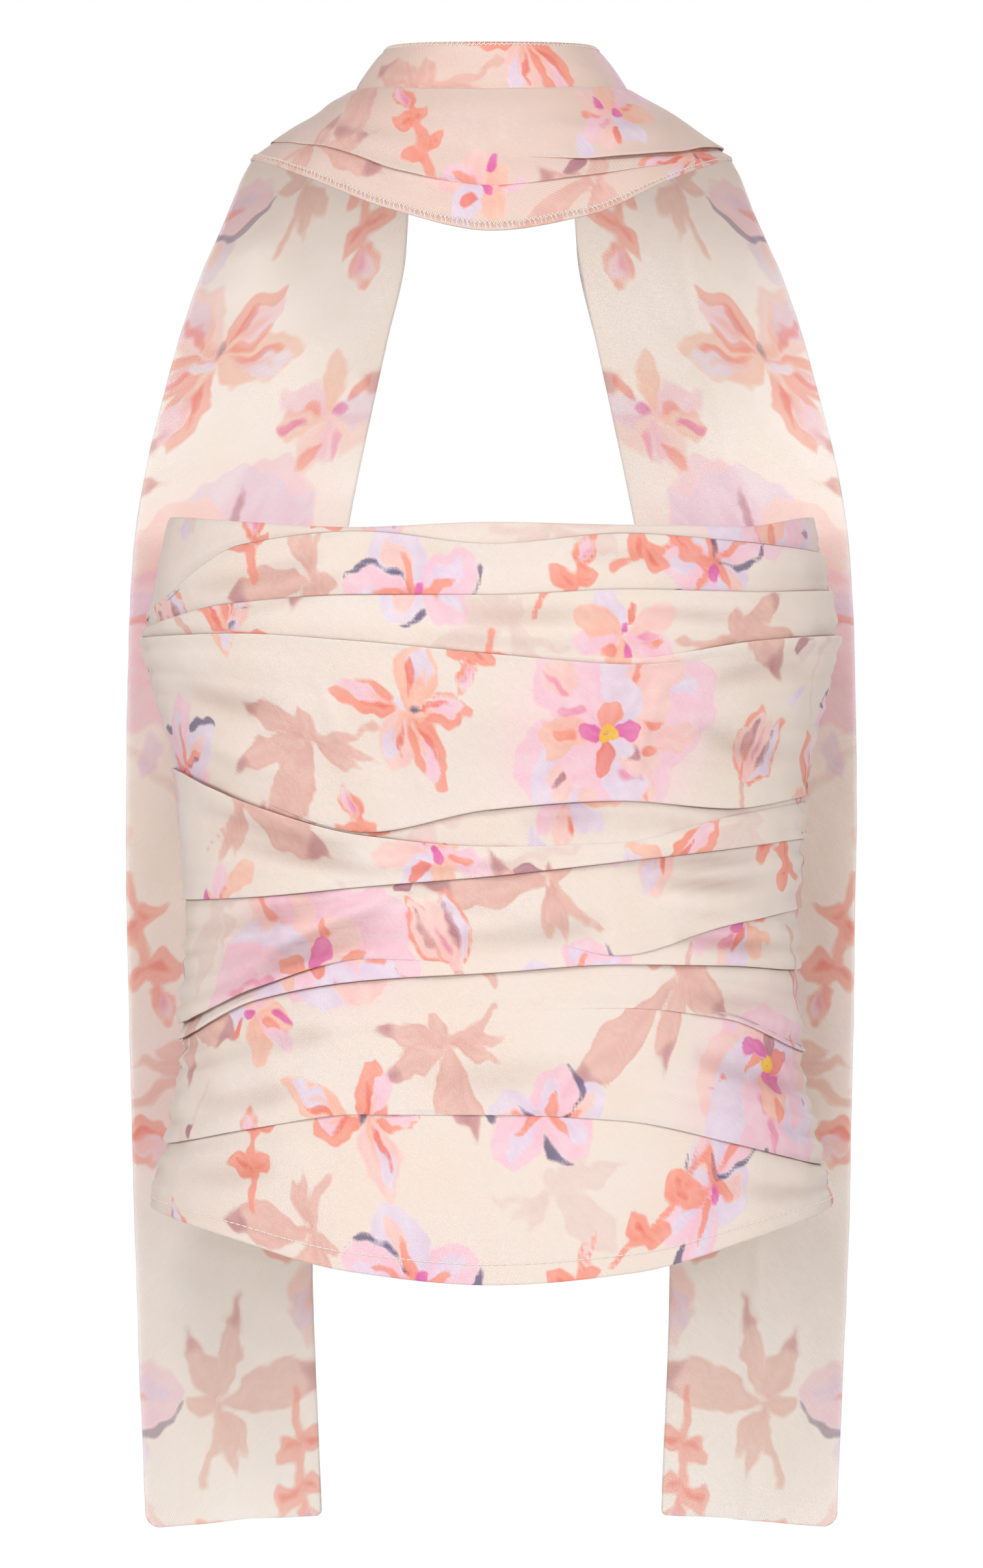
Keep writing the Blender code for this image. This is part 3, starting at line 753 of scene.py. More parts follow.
class Motif:
    """A place on the cloth where shapes are painted one over another."""

    def __init__(self, painting, near, x, y):
        self.painting, self.near, self.x, self.y = painting, near, x, y

    def lay(self, ink, inside, tone=0.0):
        """Paints a shape over all that is there."""
        number = list(INKS).index(ink)
        inks, pale = self.painting.inks, self.painting.tone
        inks[(number, *self.near)] = np.maximum(inks[(number, *self.near)], inside)
        for over in range(number + 1, len(INKS)):
            inks[(over, *self.near)] = np.minimum(inks[(over, *self.near)], -inside)
        if ink != "wash":
            share = np.clip(inside + 0.6, 0, 1)
            pale[self.near] = pale[self.near] * (1 - share) + tone * share

    def petal(self, ink, x, y, turn, length, width, skew=1.0, full=0.8, bend=0.0, frill=0.0, lean=0.7,
              start=0.0):
        """A petal, leaf or brush stroke from x, y on. skew above 1 moves its widest part to the tip, full
        below 1 makes it rounder, frill waves its edge, lean makes it paler to the tip (or, below 0, to the
        root), and start leaves out the first share of its length."""
        c, s = heading(turn)
        along = (self.x - x) * c + (self.y - y) * s
        across = -(self.x - x) * s + (self.y - y) * c
        part = along / length
        across = across - bend * length * part * part
        inner = np.clip(part, 0, 1)
        broad = np.sin(math.pi * inner**skew) ** full * width / 2
        wave = np.sin(inner * 17 + turn + np.sign(across)) + 0.6 * np.sin(inner * 31 + 2 * turn)
        broad = broad * (1 + frill * wave * inner)
        inside = broad - np.abs(across)
        past = np.where(part < 0, -along, np.where(part > 1, along - length, 0))
        inside = np.where(past > 0, -np.hypot(past, across), inside)
        if start:
            inside = np.minimum(inside, along - start * length)
        streaks = np.sin(across * 14 / max(width, 6) + 5 * inner + turn)
        self.lay(ink, np.clip(inside, -FAR, FAR), lean * (2 * inner - 1) + 0.35 * streaks)

    def spot(self, ink, x, y, radius, tone=0.0):
        self.lay(ink, np.clip(radius - np.hypot(self.x - x, self.y - y), -FAR, FAR), tone)

    def stem(self, ink, points, width):
        """A thin bent line through some points."""
        for (x0, y0), (x1, y1) in zip(points, points[1:]):
            length = math.hypot(x1 - x0, y1 - y0)
            c, s = (x1 - x0) / length, (y1 - y0) / length
            along = np.clip((self.x - x0) * c + (self.y - y0) * s, 0, length)
            away = np.hypot(self.x - x0 - along * c, self.y - y0 - along * s)
            self.lay(ink, width / 2 - away, 0.2)


# %% [markdown]
# ### The motifs
# Each motif is built the way a painter does it, large pale shapes first and small dark strokes last. They
# are plain garden forms with a seeded draw for their unevenness, laid out afresh for this cloth.

# %% Peony
def peony(motif, r, seed):
    """A full flower: broad pale petals behind, a cup of smaller ones, dark strokes and a yellow eye."""
    random = np.random.default_rng(seed)
    motif.spot("wash", 0, 0, r * 0.95)
    back = ("pink", "blush", "lilac", "pink", "pink", "lilac", "blush", "pink", "pink")
    for k, ink in enumerate(back):
        turn = 40 * k + random.uniform(-14, 14)
        far = r * random.uniform(0.8, 1.12)
        bend = random.uniform(-0.2, 0.2)
        motif.petal(ink, 0, 0, turn, far, r * random.uniform(0.62, 0.8), 1.8, 0.62, bend, 0.07)
        x, y = (0.42 * far * part for part in heading(turn))
        tint = ("pink", "lilac", "blush")[int(random.integers(3))]
        motif.petal(tint, x, y, turn + random.uniform(-30, 30), far * 0.45, r * 0.3, 1.3, 0.7, bend, 0.1)
        if k % 2:
            ink = ("rose", "coral", "plum")[k % 3]
            motif.petal(ink, x, y, turn + 24, far * 0.44, r * 0.075, 1, 0.8, -0.3)
    for k in range(7):
        turn = 51 * k + random.uniform(-16, 16)
        ink = ("blush", "lilac", "pink", "peach", "pink", "lilac", "blush")[k]
        bend = random.uniform(-0.15, 0.15)
        motif.petal(ink, 0, 0, turn, r * random.uniform(0.5, 0.66), r * 0.42, 1.6, 0.65, bend, 0.1)
        if k % 3 != 1:
            x, y = (0.3 * r * part for part in heading(turn))
            ink = ("coral", "magenta", "rose")[k % 3]
            motif.petal(ink, x, y, turn + random.uniform(-50, 50), r * 0.26, r * 0.1, 1.1, 0.8, 0.2)
    for k in range(5):
        turn = 72 * k + random.uniform(-20, 20)
        ink = ("magenta", "coral", "magenta", "coral_deep", "plum")[k]
        far = r * random.uniform(0.2, 0.42)
        motif.petal(ink, r * 0.04, 0, turn, far, r * random.uniform(0.14, 0.24), 1.4, 0.6, 0.1, 0.1)
    motif.petal("lilac", 0, 0, random.uniform(0, 360), r * 0.3, r * 0.12, 1.2, 0.7)
    motif.petal("yellow", -r * 0.09, -r * 0.03, 20, r * 0.2, r * 0.15, 1.0, 0.5)
    motif.spot("yellow", r * 0.02, r * 0.07, r * 0.055)
    motif.spot("indigo", 0, r * 0.01, r * 0.036)


# %% [markdown]
# Open flowers have five petals. The lilies are coral with a light in each petal, and the others are pale
# with a dark outline on a few petals only, as a quick pen leaves it.

# %% Open flowers
def lily(motif, r, seed):
    """An open flower of pointed coral petals, each with a pale lilac light in it."""
    random = np.random.default_rng(seed)
    count = 5
    for k in range(count):
        turn = 360 / count * k + random.uniform(-13, 13)
        far = r * random.uniform(0.78, 1.15)
        wide = r * random.uniform(0.46, 0.6)
        bend = random.uniform(-0.22, 0.22)
        ink = ("coral", "peach", "coral", "blush", "coral")[k]
        motif.petal(ink, 0, 0, turn, far, wide, 1.05, 0.9, bend, 0.09)
        c, s = heading(turn)
        x, y = 0.3 * far * c, 0.3 * far * s
        ink = "lilac" if k % 2 else "pink"
        motif.petal(ink, x, y, turn + random.uniform(-12, 4), far * 0.6, wide * 0.5, 1.1, 0.8, bend, 0.25)
        x, y = 0.12 * far * c, 0.12 * far * s
        motif.petal("coral_deep", x, y, turn + 10, far * 0.62, wide * 0.2, 0.9, 0.7, bend)
        motif.petal("peach", 0, 0, turn - 6, far * 0.7, wide * 0.14, 0.8, 0.6, bend)
    motif.petal("lilac", 0, 0, random.uniform(0, 360), r * 0.26, r * 0.14, 1.2, 0.7)
    motif.petal("indigo", r * 0.03, 0, random.uniform(0, 360), r * 0.26, r * 0.085, 1.0, 0.5)


def drawn_blossom(motif, r, seed):
    """Pale petals with coral in their hearts, drawn round here and there in indigo."""
    random = np.random.default_rng(seed)
    for k in range(5):
        turn = 72 * k + random.uniform(-10, 10)
        far = r * random.uniform(0.85, 1.12)
        wide = r * random.uniform(0.6, 0.78)
        bend = random.uniform(-0.14, 0.14)
        c, s = heading(turn)
        if k in (0, 2, 3):
            shift = 2.8 if k % 2 else -2.8
            motif.petal("indigo", -s * shift, c * shift, turn, far * 1.02, wide + 1.4, 1.3, 0.7, bend, 0.05)
        motif.petal("lilac" if k % 2 else "pink", 0, 0, turn, far, wide, 1.3, 0.7, bend, 0.05)
        ink = "blush" if k % 2 else "lilac"
        x, y = 0.2 * far * c, 0.2 * far * s
        motif.petal(ink, x, y, turn + 7, far * 0.66, wide * 0.42, 1.1, 0.8, bend, 0.15)
        motif.petal("coral", 0, 0, turn - 5, far * 0.66, wide * 0.22, 0.9, 0.8, bend, 0.15)
    motif.petal("magenta", 0, 0, 30, r * 0.34, r * 0.13, 1.1, 0.7)
    motif.petal("indigo", 0, 0, 190, r * 0.62, r * 0.07, 1, 0.4, 0.25)


# %% [markdown]
# Small clusters and closed, striped heads fill the gaps between the large flowers.

# %% Clusters and closed heads
def small_blossom(motif, r, seed):
    """A loose cluster of peach and pink petals with coral and magenta strokes."""
    random = np.random.default_rng(seed)
    for k in range(7):
        turn = 51 * k + random.uniform(-17, 17)
        ink = ("pink", "peach", "blush", "pink", "blush", "lilac", "peach")[k]
        bend = random.uniform(-0.2, 0.2)
        motif.petal(ink, 0, 0, turn, r * random.uniform(0.7, 1.15), r * 0.5, 1.35, 0.75, bend, 0.14)
    for k in range(6):
        turn = 60 * k + random.uniform(-25, 25)
        c, s = heading(turn)
        start = r * random.uniform(0.05, 0.35)
        ink = ("coral", "magenta", "coral", "rose", "coral_deep", "peach")[k]
        bend = random.uniform(-0.3, 0.3)
        turn += random.uniform(-20, 20)
        far, wide = r * random.uniform(0.35, 0.6), r * random.uniform(0.14, 0.24)
        motif.petal(ink, start * c, start * s, turn, far, wide, 1.1, 0.7, bend, 0.2)
    motif.petal("magenta", 0, 0, random.uniform(0, 360), r * 0.3, r * 0.2, 1.1, 0.6)


def tulip(motif, r, seed):
    """A closed head of mauve stripes with coral edges and lilac light."""
    random = np.random.default_rng(seed)
    motif.stem("leaf", ((0, -r), (r * 0.25, -r * 2.0), (r * 0.1, -r * 3.0)), 3.5)
    for turn, bend in ((116, -0.2), (64, 0.2)):
        motif.petal("coral", 0, -r, turn, r * 2.15, r * 1.05, 0.95, 0.8, bend, 0.03)
        ink = "lilac" if turn < 90 else "blush"
        motif.petal(ink, 0, -r * 0.9, turn, r * 1.9, r * 0.82, 0.95, 0.8, bend)
        motif.petal("plum", 0, -r * 0.8, turn + 3, r * 1.65, r * 0.5, 1.0, 0.8, bend, 0.1)
        motif.petal("pink", 0, -r * 0.7, turn - 2, r * 1.4, r * 0.2, 1.0, 0.8, bend)
    motif.petal("blush", 0, -r, 90, r * 1.95, r * 0.74, 0.9, 0.85)
    for k in range(3):
        x = (k - 1) * r * 0.2
        far = r * random.uniform(0.9, 1.4)
        motif.petal(("plum", "rose", "plum")[k], x, -r * 0.6, 90 - 8 * (k - 1), far, r * 0.16, 1, 0.8, 0.05)
    motif.petal("coral", -r * 0.2, -r * 0.95, 98, r * 1.5, r * 0.13, 1, 0.7, 0.08)


# %% [markdown]
# Leaves are cut into uneven pointed lobes, and buds sit on thin stems. The same leaf in the palest ink makes
# the faint shadows under the other motifs.

# %% Leaves and buds
def lobe(motif, inks, turn, length, width, bend, teeth, tone):
    """One pointed part of a leaf, slim at its root, with a few short teeth and a darker tip."""
    main, dark = inks
    c, s = heading(turn)
    motif.petal(main, 0, 0, turn, length, width, 1.0, 1.2, bend, 0.015, tone)
    for k in range(teeth):
        way = 1 if k % 2 else -1
        along = (0.26 + 0.12 * k) * length
        off = bend * along * along / length
        x, y = along * c - off * s, along * s + off * c
        motif.petal(main, x, y, turn + way * 31, length * 0.4, width * 0.4, 0.8, 1.1, -0.1 * way, 0, tone)
    if dark:
        motif.petal(dark, 0, 0, turn, length, width * 0.96, 1.0, 1.2, bend, 0.015, -0.6, start=0.74)


def leaf(motif, r, seed, inks=("leaf", "leaf_dark")):
    """A leaf cut into uneven pointed lobes round its stem: one broad, two slim, a bud and two pale ones."""
    random = np.random.default_rng(seed)
    way = 1 if seed % 2 else -1
    motif.stem(inks[0], ((0, 0), (way * r * 0.14, -r * 0.3), (way * r * 0.4, -r * 0.6)), 3.4)
    shape = (
        # turn, length, width, teeth, tone
        (252, 0.62, 0.17, 0, 1.0),
        (276, 0.7, 0.13, 0, 0.8),
        (30, 0.34, 0.19, 0, 0.2),
        (82, 0.8, 0.25, 1, 0.5),
        (124, 1.02, 0.26, 1, -0.2),
        (178, 1.3, 0.46, 2, 0.2),
    )
    for turn, far, wide, teeth, tone in shape:
        turn = 90 + way * (turn - 90) + random.uniform(-6, 6)
        far *= r * random.uniform(0.92, 1.06)
        bend = way * random.uniform(0.0, 0.1)
        tip = inks[1] if far > 0.7 * r and tone < 0.6 else None
        lobe(motif, (inks[0], tip), turn, far, r * wide, bend, teeth, tone)


def ghost_leaf(motif, r, seed):
    """The same leaf as a faint shadow under the other inks."""
    leaf(motif, r, seed, ("ghost", None))


def sprig(motif, r, seed):
    """Coral buds and small leaves along one thin stem."""
    random = np.random.default_rng(seed)
    motif.stem("coral", ((-r * 0.1, -r), (0, -r * 0.35), (r * 0.16, r * 0.25), (r * 0.1, r * 0.55)), 3.5)
    places = ((0, -0.5, 158, 0.52), (0.02, -0.4, 22, 0.5), (0.12, 0.1, 150, 0.5), (0.14, 0.15, 38, 0.4))
    for x, y, turn, far in places:
        turn += random.uniform(-10, 10)
        far *= r * random.uniform(0.85, 1.15)
        motif.petal("coral", x * r, y * r, turn, far, far * 0.62, 0.85, 0.85, 0.1, 0.06)
        motif.petal("coral_deep", x * r, y * r, turn - 8, far * 0.7, far * 0.16, 1, 0.7, 0.1)
    motif.petal("coral", r * 0.1, r * 0.4, 82, r * 0.62, r * 0.36, 0.8, 0.8, 0.05)
    motif.petal("pink", r * 0.1, r * 0.46, 88, r * 0.46, r * 0.16, 0.9, 0.8, 0.05)
    motif.petal("rose", r * 0.08, r * 0.44, 72, r * 0.5, r * 0.09, 0.9, 0.8, 0.05)


def stray_petals(motif, r, seed):
    """A few loose strokes in grey-lilac and mauve."""
    random = np.random.default_rng(seed)
    motif.stem("ghost", ((-r * 0.6, -r * 0.5), (0, -r * 0.05), (r * 0.7, r * 0.1)), 3.0)
    for k in range(4):
        ink = ("ghost", "plum", "ghost", "lilac")[k]
        turn = random.uniform(0, 360)
        x, y = random.uniform(-0.5, 0.5) * r, random.uniform(-0.4, 0.4) * r
        far, wide = r * random.uniform(0.45, 0.8), r * random.uniform(0.2, 0.34)
        motif.petal(ink, x, y, turn, far, wide, 0.9, 0.9, 0.15, 0.1)


# %% [markdown]
# ### The layout
# The cloth is printed with one repeat, 352 mm wide and 422 mm tall, and each piece is cut from its own
# place on it. The scarf's two ends are cut as a mirrored pair.

# %% Layout of the repeat
REPEAT = (352.0, 422.0)
LAYOUT = (
    # motif, x, y, size, turn, seed
    (ghost_leaf, 7, -26, 37, 30, 21),
    (ghost_leaf, 113, -172, 35, 200, 22),
    (ghost_leaf, -125, -231, 39, 120, 23),
    (ghost_leaf, 26, -377, 35, 310, 24),
    (ghost_leaf, -26, -148, 30, 80, 25),
    (stray_petals, 18, -172, 26, 0, 26),
    (stray_petals, -53, -216, 26, 120, 27),
    (stray_petals, 158, -84, 26, 60, 28),
    (stray_petals, -141, -370, 26, 200, 29),
    (leaf, -77, -109, 44, 78, 31),
    (leaf, 107, -42, 40, 300, 32),
    (leaf, 25, -208, 44, 10, 33),
    (leaf, 81, -296, 47, 205, 34),
    (leaf, -155, -310, 42, 150, 35),
    (leaf, -76, 5, 37, 200, 36),
    (leaf, 157, -250, 39, 250, 37),
    (leaf, -109, -167, 39, 330, 38),
    (leaf, -18, -310, 39, 100, 39),
    (peony, 49, -92, 47, 20, 41),
    (peony, -77, -264, 50, 75, 42),
    (peony, 128, -361, 46, 130, 43),
    (lily, -35, -88, 32, 15, 51),
    (lily, 74, -190, 33, 50, 52),
    (lily, -55, -359, 33, 80, 53),
    (lily, 167, -139, 30, 110, 54),
    (lily, -116, -46, 32, 200, 55),
    (drawn_blossom, -32, -2, 30, 35, 61),
    (drawn_blossom, -151, -114, 29, 160, 62),
    (drawn_blossom, 95, 11, 28, 250, 63),
    (drawn_blossom, 23, -341, 30, 300, 64),
    (drawn_blossom, 35, -257, 26, 90, 65),
    (small_blossom, -25, -181, 24, 0, 71),
    (small_blossom, 32, -141, 23, 50, 72),
    (small_blossom, -125, -208, 23, 90, 73),
    (small_blossom, 113, -264, 24, 20, 74),
    (small_blossom, 55, -35, 23, 200, 75),
    (small_blossom, -104, -327, 22, 310, 76),
    (tulip, -155, -12, 16, 20, 81),
    (tulip, 120, -113, 16, 330, 82),
    (tulip, -21, -238, 16, 25, 83),
    (tulip, 167, -310, 16, 200, 84),
    (sprig, 30, 2, 27, 340, 91),
    (sprig, -55, -150, 27, 25, 92),
    (sprig, 130, -209, 26, 70, 93),
    (sprig, -106, -394, 27, 10, 94),
    (sprig, -5, -51, 24, 170, 95),
    (sprig, 74, -401, 26, 300, 96),
)
REACH = {tulip: 3.4}
THIN_INKS = ("indigo", "leaf_dark", "plum")
print("motifs in the repeat:", len(LAYOUT))

# %% [markdown]
# A piece is painted by laying every motif that reaches it, in the order of the layout. The result is kept
# as attributes of its points, three numbers to each.

# %% Paint a piece and store its print
def soften(fields):
    """Blurs each table a little over neighbouring points, so that a stroke thinner than their spacing fades
    and doesn't break into dots."""
    for axis in (1, 2):
        last = fields.shape[axis] - 1
        before = fields.take(np.maximum(np.arange(last + 1) - 1, 0), axis)
        after = fields.take(np.minimum(np.arange(last + 1) + 1, last), axis)
        fields = (before + 7 * fields + after) / 9
    return fields


def paint_cloth(s, t, cut_x=0.0, cut_y=0.0):
    """The painting on a piece of cloth that is cut from the repeat at cut_x, cut_y."""
    painting = Painting(s + cut_x, t + cut_y)
    wide, tall = REPEAT
    for draw, x, y, size, turn, seed in LAYOUT:
        reach = size * REACH.get(draw, 1.4)
        first_s = math.ceil((painting.s.min() - reach - x) / wide)
        last_s = math.floor((painting.s.max() + reach - x) / wide)
        first_t = math.ceil((painting.t.min() - reach - y) / tall)
        last_t = math.floor((painting.t.max() + reach - y) / tall)
        for i in range(first_s, last_s + 1):
            for j in range(first_t, last_t + 1):
                motif = painting.place(x + i * wide, y + j * tall, turn, reach)
                if motif.x.size:
                    draw(motif, size, seed)
    painting.inks = soften(painting.inks)
    thin = [number for number, name in enumerate(INKS) if name in THIN_INKS]
    painting.inks[thin] = soften(painting.inks[thin])
    return painting


def store_print(piece, order, painting, s, t, shade=None):
    """Writes the painting and the cloth's own coordinates as attributes of a piece's points. order has one
    table of point numbers, or one for each skin of a thin cloth that shows its print on both. shade is the
    painted shade that darkens its colour in and beside its tucks and, on the front, in its creases and
    gathers."""
    count = len(piece.data.vertices)
    order = order.reshape(-1, *s.shape)
    tables = list(painting.inks) + [painting.tone, s, t]
    for group in range(len(tables) // 3):
        values = np.full((count, 3), -FAR, np.float32)
        for k in range(3):
            for skin in order:
                values[skin.ravel(), k] = tables[3 * group + k].ravel()
        made = piece.data.attributes.new(f"print_{group}", "FLOAT_VECTOR", "POINT")
        made.data.foreach_set("vector", values.ravel())
    if shade is not None:
        values = np.zeros(count, np.float32)
        values[order[0].ravel()] = shade.ravel()
        piece.data.attributes.new("tuck_shade", "FLOAT", "POINT").data.foreach_set("value", values)


# %% [markdown]
# ### The finish of the printed cloth
# The cloth is a light twill with a soft, slightly brushed face: high roughness, a little sheen and a fine
# diagonal rib. The wrong side, which the scarf's ends show below and behind the bodice, has a paler, softer
# print, and its ground is lighter than the bodice's as painted light, so that the ends don't look shaded by
# the bodice and the cowl. The scarf's right side has a darker, warmer ground than the bodice as painted
# shade.

# %% Printed cloth
TWILL_PITCH = 0.95  # mm, as the print's coordinates are
WEAVE_PITCH = 0.0011  # metres, as Object coordinates are
GROUND = (241, 230, 223)
GROUND_WARM = (242, 226, 214)
# the scarf's right side has a darker, warmer ground than the bodice as painted shade, because the band and
# the cowl stand in less light
GROUND_SCARF_SHADED = (235, 214, 206)
GROUND_SCARF_SHADED_WARM = (237, 210, 197)
# the wrong side's ground is lighter as painted light, so the scarf's ends look as bright as the bodice
# although the bodice and the cowl shade them
GROUND_PALE_LIT = (255, 245, 240)
GROUND_PALE_LIT_WARM = (255, 242, 233)
# colour of the painted shade in the tucks, creases and gathers
TUCK_SHADE = (134, 80, 56)


def printed_cloth(name, softness, strength, ground, warm, sheer):
    """Twill with the inks printed on it. softness widens the edges of the print and strength makes it paler,
    as on a cloth's wrong side, and sheer is how much light the cloth lets through."""
    material, tree, shader = new_material(name)
    tone, s, t = attribute(tree, "print_5").parts()
    place = s.combine(t, 0.0)
    cloud = place.noise(0.022, 3.0)
    wash = place.noise(0.09, 4.0, 0.62)
    thread = place.noise(1.5, 2.0)
    pale = (tone * 0.5 + (wash - 0.5) * 1.1 + 0.5).clamp()
    base = (cloud * 1.8 - 0.4).clamp().mix(linear(*ground), linear(*warm))
    for number, (deep, light, spread, cover) in enumerate(INKS.values()):
        if number % 3 == 0:
            channels = attribute(tree, f"print_{number // 3}").parts()
        inside = channels[number % 3] + (thread - 0.5) * 0.6
        mask = (inside / (spread * softness) + 0.5).clamp()
        pooled = (1 - (inside / 2.4).clamp()) * 0.1
        share = mask * ((wash * 0.5 + 0.72 + pooled) * cover).clamp() * strength
        base = share.mix(base, pale.mix(linear(*deep), linear(*light)))
    rib = ((s + t * 0.8) * (2 * math.pi / TWILL_PITCH)).math("SINE")
    # painted shade from the tuck_shade attribute darkens the cloth towards TUCK_SHADE in its tucks, creases
    # and gathers, and the twill's ribs and threads add a faint darkening of their own colour
    tucks = attribute(tree, "tuck_shade", "Fac")
    dark = (tucks * 0.8 + (1 - rib) * 0.012 + (1 - thread) * 0.02).clamp()
    base = dark.mix(base, linear(*TUCK_SHADE))
    height = rib * 0.5 + thread * 0.9 + wash * 0.5
    finish(tree, shader, base, height, 0.34, 0.00025, Roughness=0.62, Sheen_Weight=0.12, Sheen_Roughness=0.45,
           Specular_IOR_Level=0.3, Subsurface_Weight=sheer, Subsurface_Radius=(1.0, 0.85, 0.75),
           Subsurface_Scale=0.0016)
    return material


def plain_cloth(name, color):
    """Unprinted cloth, for the inside of the bodice."""
    material, tree, shader = new_material(name)
    place = place_on(tree)
    x, _, z = place.parts()
    pace = 2 * math.pi / WEAVE_PITCH
    weave = (x * pace).math("SINE") * (z * pace).math("SINE")
    cloud = place.noise(22.0, 3.0)
    shade = cloud.mix((*[c * 0.93 for c in color], 1), (*color, 1))
    finish(tree, shader, shade, weave, 0.25, 0.0002, Roughness=0.7, Sheen_Weight=0.1)
    return material


bodice_cloth = printed_cloth("bodice_cloth", 1.0, 1.0, GROUND, GROUND_WARM, 0.25)
# the right side of the scarf is printed on the darker ground, as painted shade
scarf_right_side = printed_cloth("scarf_right_side", 1.0, 1.0, GROUND_SCARF_SHADED, GROUND_SCARF_SHADED_WARM, 0.3)
# the wrong side: a paler, softer print, and the lighter ground as painted light
scarf_wrong_side = printed_cloth("scarf_wrong_side", 1.4, 0.64, GROUND_PALE_LIT, GROUND_PALE_LIT_WARM, 0.4)
foundation = plain_cloth("foundation", linear(238, 222, 210)[:3])
print("cloths:", [m.name for m in (bodice_cloth, scarf_right_side, scarf_wrong_side, foundation)])

# %% [markdown]
# ## The front
# Now the front is put together: the pleated outer skin, the plain inside, and the print read at every
# point's place on the uncut cloth, so flowers break off at each pleat as they do in the photograph. Near
# the seams the gathers pull the cloth about, and there the print swirls.

# %% Build the front
BODICE_WALL = 1.4
INNER_ROWS = 46
SWIRL_REACH = 30.0
SWIRL_DOWN = 4.0
SWIRL_ACROSS = 6.5

front_outer = bodice_point(front_angle_grid, front_true, -1, front_relief)
inner_share = np.linspace(0, 1, INNER_ROWS)[:, None]
front_inner_height = front_flat[0] + (front_flat[-1] - front_flat[0]) * inner_share
front_inner_angles = FRONT_ANGLES[None, :] + 0 * front_inner_height
front_inner = bodice_point(front_inner_angles, front_inner_height, -1, -BODICE_WALL)
swirl = np.exp(-near_seam / SWIRL_REACH)
front_t = front_cloth + SWIRL_DOWN * swirl * ripple(front_s, 0.3 * front_flat, 24, 31)
front_s = front_s + SWIRL_ACROSS * swirl * ripple(0.25 * front_s, front_flat, 15, 32)

front_panel, order, _ = cloth_wall("front_panel", front_outer, front_inner, [bodice_cloth, foundation])
store_print(front_panel, order, paint_cloth(front_s, front_t), front_s, front_t, front_shade)
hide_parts("bodice_front")
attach(front_panel, "garment")
print("front triangles:", triangles(front_panel))

# %% [markdown]
# ## The backs
# The photograph doesn't show the back, so it is plain: two panels that meet over a concealed zip. They have
# soft creases where the waist nips in and a slight pucker along their seams.

# %% Rows and creases of the backs
BACK_TOP = (51.0, 44.0)
BACK_HEM = (-244.3, -246.0)
SEAM_GAP = 0.3
ZIP_SLIT = 1.2
PLAIN_HALF_WIDTH = 140.0
BACK_LEVELS = 200
BACK_COLUMNS = 128
BACK_GATHERS = (44, -236, 0.5, 9)  # top, bottom, depth, reach
BACK_RELIEF = (-0.95, 0.9)
ZIP_PUCKER = 0.12
ZIP_PUCKER_PITCH = 5.2
ZIP_PUCKER_REACH = 4
BACK_CREASES = (
    # x, z at one end, x, z at the other, sag, half width, depth
    (40, -78, 124, -92, 4, 6.0, -0.8),
    (30, -104, 118, -112, 3, 5.0, -0.9),
    (52, -128, 126, -126, -3, 6.0, -0.8),
    (24, -146, 104, -158, 3, 6.0, -0.7),
    (70, -60, 130, -52, 2, 6.0, -0.5),
    (60, -94, 124, -104, 2, 4.0, 0.6),
    (44, -136, 116, -142, 2, 4.5, 0.6),
    (96, 30, 132, 12, 2, 5.0, -0.5),
    (90, -196, 138, -214, 2, 7.0, -0.5),
    (20, 20, 90, 26, 2, 9.0, -0.3),
)


def back_rows():
    """Shares of the way down a back panel, with the rounded edges' rows at both ends."""
    drops = [row[0] for row in EDGE]
    length = BACK_TOP[0] - BACK_HEM[0]
    first = [(d if d > 0.5 else 0) / length for d in drops]
    inside = list(np.linspace(2 / length, 1 - 2 / length, BACK_LEVELS))
    last = [1 - d for d in first[::-1]]
    relief = [row[1] for row in EDGE] + [0] * BACK_LEVELS + [row[1] for row in EDGE[::-1]]
    return np.array(first + inside + last)[:, None], np.array(relief)[:, None]


print("rows of a back:", len(back_rows()[0]))

# %% [markdown]
# Both panels come from one function. It draws the right one, from its side seam to the zip, and side turns
# it over for the left one, while the unevenness and the print differ.

# %% Build the backs
back_skins = []


